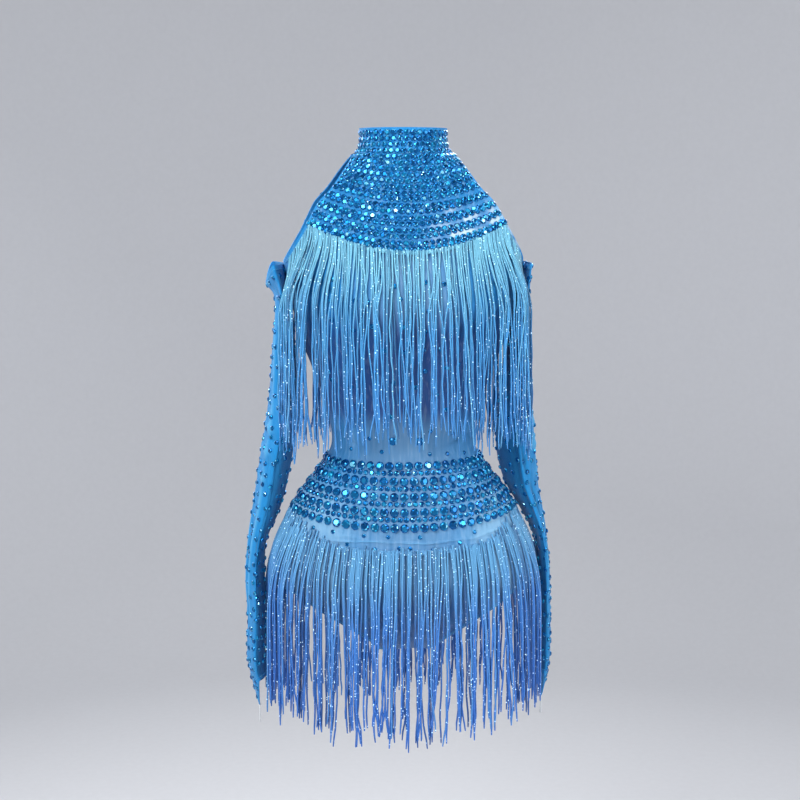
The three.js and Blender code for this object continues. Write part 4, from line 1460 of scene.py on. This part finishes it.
def hem_lines():
    """Rows of stitches beside every free edge: armholes, legs, keyhole and sleeve ends."""
    lines = []

    def sew_on_body(face, angle, row):
        points, normals = skin(face, angle, row), skin_normal(face, angle, row)
        lines.append(stitch_line(points, normals, STITCH["body_lift"]))

    for face in ("front", "back"):
        for low, high in ((BODICE_ROW + 0.3, UNDERARM_ROW - 0.2), (LEG_ROW + 0.1, LAST_ROW - 0.6)):
            row = np.linspace(low, high, 160)
            for sign in (-1, 1):
                for inset in (HEM["stitch"], HEM["second_stitch"]):
                    sew_on_body(face, sign * angle_at(form.at(face + "_edge", row) - inset, row), row)
    turn = np.linspace(0, 2 * math.pi, 240)
    for sleeve in SLEEVES.values():
        for z in (sleeve.table[0, 0] - HEM["stitch"], sleeve.table[-1, 0] + HEM["stitch"]):
            plain, normals, _ = sleeve.dressed(turn, np.full(len(turn), float(sleeve.row_at(z))))
            lines.append(stitch_line(plain, normals, STITCH["sleeve_lift"]))
    z = np.linspace(KEYHOLE["top"] - 1.5, KEYHOLE["bottom"] + 1.5, 160)
    row = form.row_at(z)
    for sign in (-1, 1):
        sew_on_body("back", sign * angle_at(keyhole_half(z) + HEM["stitch"], row), row)
    return lines


def colour_setting(name, description, code):
    """A colour that a user may change, with its default written as 0xRRGGBB."""
    default = srgb(code)
    return FloatVectorProperty(
        name=name, description=description, subtype="COLOR", size=3, min=0, max=1, default=default
    )


def length_setting(name, description, metres):
    """A length that a user may change."""
    return FloatProperty(name=name, description=description, default=metres, unit="LENGTH")


def light_setting(name, description, watts):
    """The power of a light that a user may change."""
    return FloatProperty(name=name, description=description, default=watts, min=0)


class BodysuitCloth(bpy.types.PropertyGroup):
    """Colours of the mesh"""

    side_colour: colour_setting("Side colour", "Mesh at the sides and on the sleeves", 0x1A8CD0)
    middle_colour: colour_setting("Middle colour", "Paler mesh over the lining in the middle", 0x5F8FBA)


class BodysuitStones(bpy.types.PropertyGroup):
    """Sizes and spacings of the stones"""

    yoke_size: length_setting("Yoke stones", "Width of a stone on the collar and yoke", 0.008)
    yoke_pitch: length_setting("Yoke spacing", "From one stone of a row to the next", 0.0081)
    large_size: length_setting("Large belt stones", "Width of a large stone on the belt", 0.0118)
    large_pitch: length_setting("Large spacing", "From one large stone to the next", 0.0125)
    small_size: length_setting("Small belt stones", "Width of a small stone on the belt", 0.0074)
    small_pitch: length_setting("Small spacing", "From one small stone to the next", 0.0079)
    scatter_size: length_setting("Single stones", "Width of a stone on the bare mesh", 0.0068)


class BodysuitFringe(bpy.types.PropertyGroup):
    """The cords of the two fringes"""

    cord_radius: length_setting("Cord radius", "Half the thickness of a chainette cord", 0.001)
    seed: IntProperty(name="Seed", description="Picks how the cords fall", default=5, min=0)


class BodysuitStage(bpy.types.PropertyGroup):
    """The floor and the lights"""

    floor_drop: length_setting("Floor", "Height of the neck seam above the floor", 1.5)
    key_power: light_setting("Key light", "Watts of the main light", 58)
    fill_power: light_setting("Fill light", "Watts of the soft lights", 22)
    rim_power: light_setting("Rim light", "Watts of the lights behind", 30)


def mesh_blue(cloth, name, pale_share):
    """The costume's mesh; pale_share says how much of the bodice's tints and its painted shade and
    highlight it takes.
    """
    return cloth_material(name, tuple(cloth.side_colour), tuple(cloth.middle_colour), pale_share)


def teal_stones():
    """The one finish of all the stones, made at its first use."""
    found = bpy.data.materials.get("teal stones")
    return found or stone_material("teal stones", srgb(0x07528F), srgb(0x24A4DC))


class BODYSUIT_OT_collar(bpy.types.Operator):
    """Stand collar of mesh with its three rows of stones"""

    bl_idname = "bodysuit.collar"
    bl_label = "Collar"

    def execute(self, context):
        scene = context.scene
        settings = scene.bodysuit_stones
        material = mesh_blue(scene.bodysuit_cloth, "collar mesh", 0.6)
        finish_piece(make_collar(), material, "mesh", "collar")
        stone_cloud("collar_stones", *collar_stones(settings), settings.yoke_size / 2 / MM, 11)
        return {"FINISHED"}


class BODYSUIT_OT_bodice(bpy.types.Operator):
    """Front and two back panels of mesh with yoke, belt and single stones"""

    bl_idname = "bodysuit.bodice"
    bl_label = "Bodice"

    def execute(self, context):
        scene = context.scene
        settings = scene.bodysuit_stones
        material = mesh_blue(scene.bodysuit_cloth, "bodice mesh", 1.0)
        finish_piece(make_front(), material, "mesh", "front_body")
        finish_piece(make_back(1), material, "mesh", "back_body_left")
        finish_piece(make_back(-1), material, "mesh", "back_body_right")
        for seed, face in ((21, "front"), (31, "back")):
            yoke = yoke_stones(face, settings)
            stone_cloud(f"yoke_stones_{face}", *yoke, settings.yoke_size / 2 / MM, seed)
            stone_cloud(f"belt_stones_{face}", *belt_stones(face, settings), seed + 1)
            single = scattered_stones(face, settings, seed + 2)
            stone_cloud(f"single_stones_{face}", *single, seed + 3)
        return {"FINISHED"}


class BODYSUIT_OT_sleeves(bpy.types.Operator):
    """Long empty sleeves with stones all over them"""

    bl_idname = "bodysuit.sleeves"
    bl_label = "Sleeves"

    def execute(self, context):
        scene = context.scene
        material = mesh_blue(scene.bodysuit_cloth, "sleeve mesh", 0.0)
        radius = scene.bodysuit_stones.scatter_size / 2 / MM
        for name, sleeve in SLEEVES.items():
            cloth = make_sleeve(f"sleeve_cloth_{name}", sleeve)
            finish_piece(cloth, material, "mesh", f"sleeve_{name}")
            stones = sleeve_stones(sleeve, 41 + sleeve.sign)
            stone_cloud(f"sleeve_stones_{name}", *stones, radius, 43 + sleeve.sign)
        return {"FINISHED"}


class BODYSUIT_OT_fringes(bpy.types.Operator):
    """Chest and hip fringes of chainette cord, front and back"""

    bl_idname = "bodysuit.fringes"
    bl_label = "Fringes"

    def execute(self, context):
        settings = context.scene.bodysuit_fringe
        chest = cord_material("chest chainette", srgb(0x76C0DC), srgb(0x46A0DC), srgb(0x3F90D6))
        hip = cord_material("hip chainette", srgb(0x62A8D8), srgb(0x3B80D0), srgb(0x3070C8))
        lines = (("chest", CHEST_LINE, chest), ("hip", HIP_LINE, hip))
        for number, (name, line, material) in enumerate(lines):
            for face in ("front", "back"):
                seed = settings.seed + 10 * number + (face == "back")
                fringe = make_fringe(f"{name}_cords_{face}", face, line, settings, seed)
                finish_piece(fringe, material, "fringe", f"{name}_fringe_{face}", smooth_angle=75)
        return {"FINISHED"}


class BODYSUIT_OT_trims(bpy.types.Operator):
    """Finger loops, hook-and-eye closures and hem stitches"""

    bl_idname = "bodysuit.trims"
    bl_label = "Trims"

    def execute(self, context):
        elastic = plain_material("white elastic", srgb(0xE6EAEC), 0.6)
        nickel = plain_material("nickel wire", srgb(0xC9CCD0), 0.22, metallic=1.0, grain=300.0)
        thread = plain_material("blue thread", srgb(0x6DBBE2), 0.6)
        for name, sleeve in SLEEVES.items():
            loop = make_loop(f"loop_elastic_{name}", sleeve)
            finish_piece(loop, elastic, "elastic", f"finger_loop_{name}")
        for name, z in (("upper", 20), ("lower", 8)):
            finish_piece(hook_and_eye(f"hook_and_eye_{name}", z), nickel, "nickel", f"closure_{name}")
        finish_piece(make_stitches("hem_stitches", hem_lines()), thread, "mesh")
        return {"FINISHED"}


class BODYSUIT_OT_stage(bpy.types.Operator):
    """Pale floor and wall all round, soft lights and the camera"""

    bl_idname = "bodysuit.stage"
    bl_label = "Stage"

    def execute(self, context):
        scene = context.scene
        settings = scene.bodysuit_stage
        scene.view_settings.view_transform = "Standard"
        backdrop(-settings.floor_drop)
        lights = (
            ("key", (-1.15, -1.75, 1.1), (0, 0, -0.25), 1.1, settings.key_power),
            ("fill", (1.7, -1.4, 0.1), (0, 0, -0.35), 1.3, settings.fill_power),
            ("top", (0.2, -0.5, 1.9), (0, 0, -0.2), 0.7, settings.fill_power),
            ("rim", (0.9, 1.6, 0.9), (0, 0, -0.3), 0.9, settings.rim_power),
            ("rim left", (-1.3, 1.2, 0.5), (0, 0, -0.3), 0.8, settings.rim_power * 0.6),
        )
        for name, place, aim, size, power in lights:
            area_light(name, place, aim, size, power)
        set_world(scene, (0.85, 0.87, 0.9), 0.2)
        target = Vector((0, 0, CAMERA["target_z"]))
        azimuth, elevation = (math.radians(CAMERA[key]) for key in ("azimuth", "elevation"))
        back = Vector(
            (
                math.sin(azimuth) * math.cos(elevation),
                -math.cos(azimuth) * math.cos(elevation),
                math.sin(elevation),
            )
        )
        bpy.ops.object.camera_add(location=target + CAMERA["distance"] * back)
        camera = context.object
        camera.rotation_euler = back.to_track_quat("Z", "Y").to_euler()
        camera.data.lens = CAMERA["lens"]
        camera.data.shift_x = CAMERA["shift_x"]
        camera.data.clip_end = 20
        scene.camera = camera
        return {"FINISHED"}


def backdrop(floor):
    """A pale floor that curves up into a wall all round."""
    bend = np.linspace(0, math.pi / 2, 12)
    radius, curve, top = 3.4, 0.9, 4.4
    start = radius - curve
    profile = [(0.0, 0.0), (1.2, 0.0), (start, 0.0)]
    profile += [(start + curve * math.sin(turn), curve - curve * math.cos(turn)) for turn in bend[1:]]
    profile.append((radius, top))
    mesh = bpy.data.meshes.new("backdrop")
    edges = [(number, number + 1) for number in range(len(profile) - 1)]
    mesh.from_pydata([(r, 0, floor + height) for r, height in profile], edges, [])
    wall = bpy.data.objects.new("backdrop", mesh)
    bpy.context.collection.objects.link(wall)
    apply_modifier(wall, "SCREW", angle=2 * math.pi, steps=96, render_steps=96, use_merge_vertices=True)
    make_active(wall)
    bpy.ops.object.shade_smooth()
    nodes = MaterialNodes("backdrop paper", Roughness=0.9, Specular_IOR_Level=0.1)
    grain = nodes.noise(nodes.place(), 60.0, 3.0)
    nodes.set("Base Color", nodes.mix(grain, (0.66, 0.67, 0.7), (0.62, 0.63, 0.66)))
    wall.data.materials.append(nodes.material)
    return wall


def area_light(name, place, aim, size, power):
    bpy.ops.object.light_add(type="AREA", location=place)
    light = bpy.context.object
    light.name = name
    light.data.size = size
    light.data.energy = power
    light.rotation_euler = (Vector(place) - Vector(aim)).to_track_quat("Z", "Y").to_euler()
    return light


def set_world(scene, colour, strength):
    world = bpy.data.worlds.new("studio")
    world.use_nodes = True
    ground = world.node_tree.nodes["Background"]
    ground.inputs["Color"].default_value = (*colour, 1)
    ground.inputs["Strength"].default_value = strength
    scene.world = world


class BODYSUIT_PT_pieces(bpy.types.Panel):
    """Builds the bodysuit piece by piece"""

    bl_label = "Bodysuit"
    bl_idname = "BODYSUIT_PT_pieces"
    bl_space_type = "VIEW_3D"
    bl_region_type = "UI"
    bl_category = "Bodysuit"

    def draw(self, context):
        for group in GROUPS:
            box = self.layout.box()
            settings = getattr(context.scene, group)
            for name in settings.bl_rna.properties.keys():
                if name not in ("rna_type", "name"):
                    box.prop(settings, name)
        for operator in OPERATORS:
            self.layout.operator(operator.bl_idname)


GROUPS = {
    "bodysuit_cloth": BodysuitCloth,
    "bodysuit_stones": BodysuitStones,
    "bodysuit_fringe": BodysuitFringe,
    "bodysuit_stage": BodysuitStage,
}
OPERATORS = (
    BODYSUIT_OT_collar,
    BODYSUIT_OT_bodice,
    BODYSUIT_OT_sleeves,
    BODYSUIT_OT_fringes,
    BODYSUIT_OT_trims,
    BODYSUIT_OT_stage,
)


def register():
    for kind in (*GROUPS.values(), *OPERATORS, BODYSUIT_PT_pieces):
        bpy.utils.register_class(kind)
    for name, group in GROUPS.items():
        setattr(bpy.types.Scene, name, PointerProperty(type=group))


def unregister():
    for name in GROUPS:
        delattr(bpy.types.Scene, name)
    for kind in (BODYSUIT_PT_pieces, *reversed(OPERATORS), *reversed(GROUPS.values())):
        bpy.utils.unregister_class(kind)


def main():
    register()
    bpy.ops.bodysuit.collar()
    bpy.ops.bodysuit.bodice()
    bpy.ops.bodysuit.sleeves()
    bpy.ops.bodysuit.fringes()
    bpy.ops.bodysuit.trims()
    bpy.ops.bodysuit.stage()


if __name__ == "__main__":
    main()
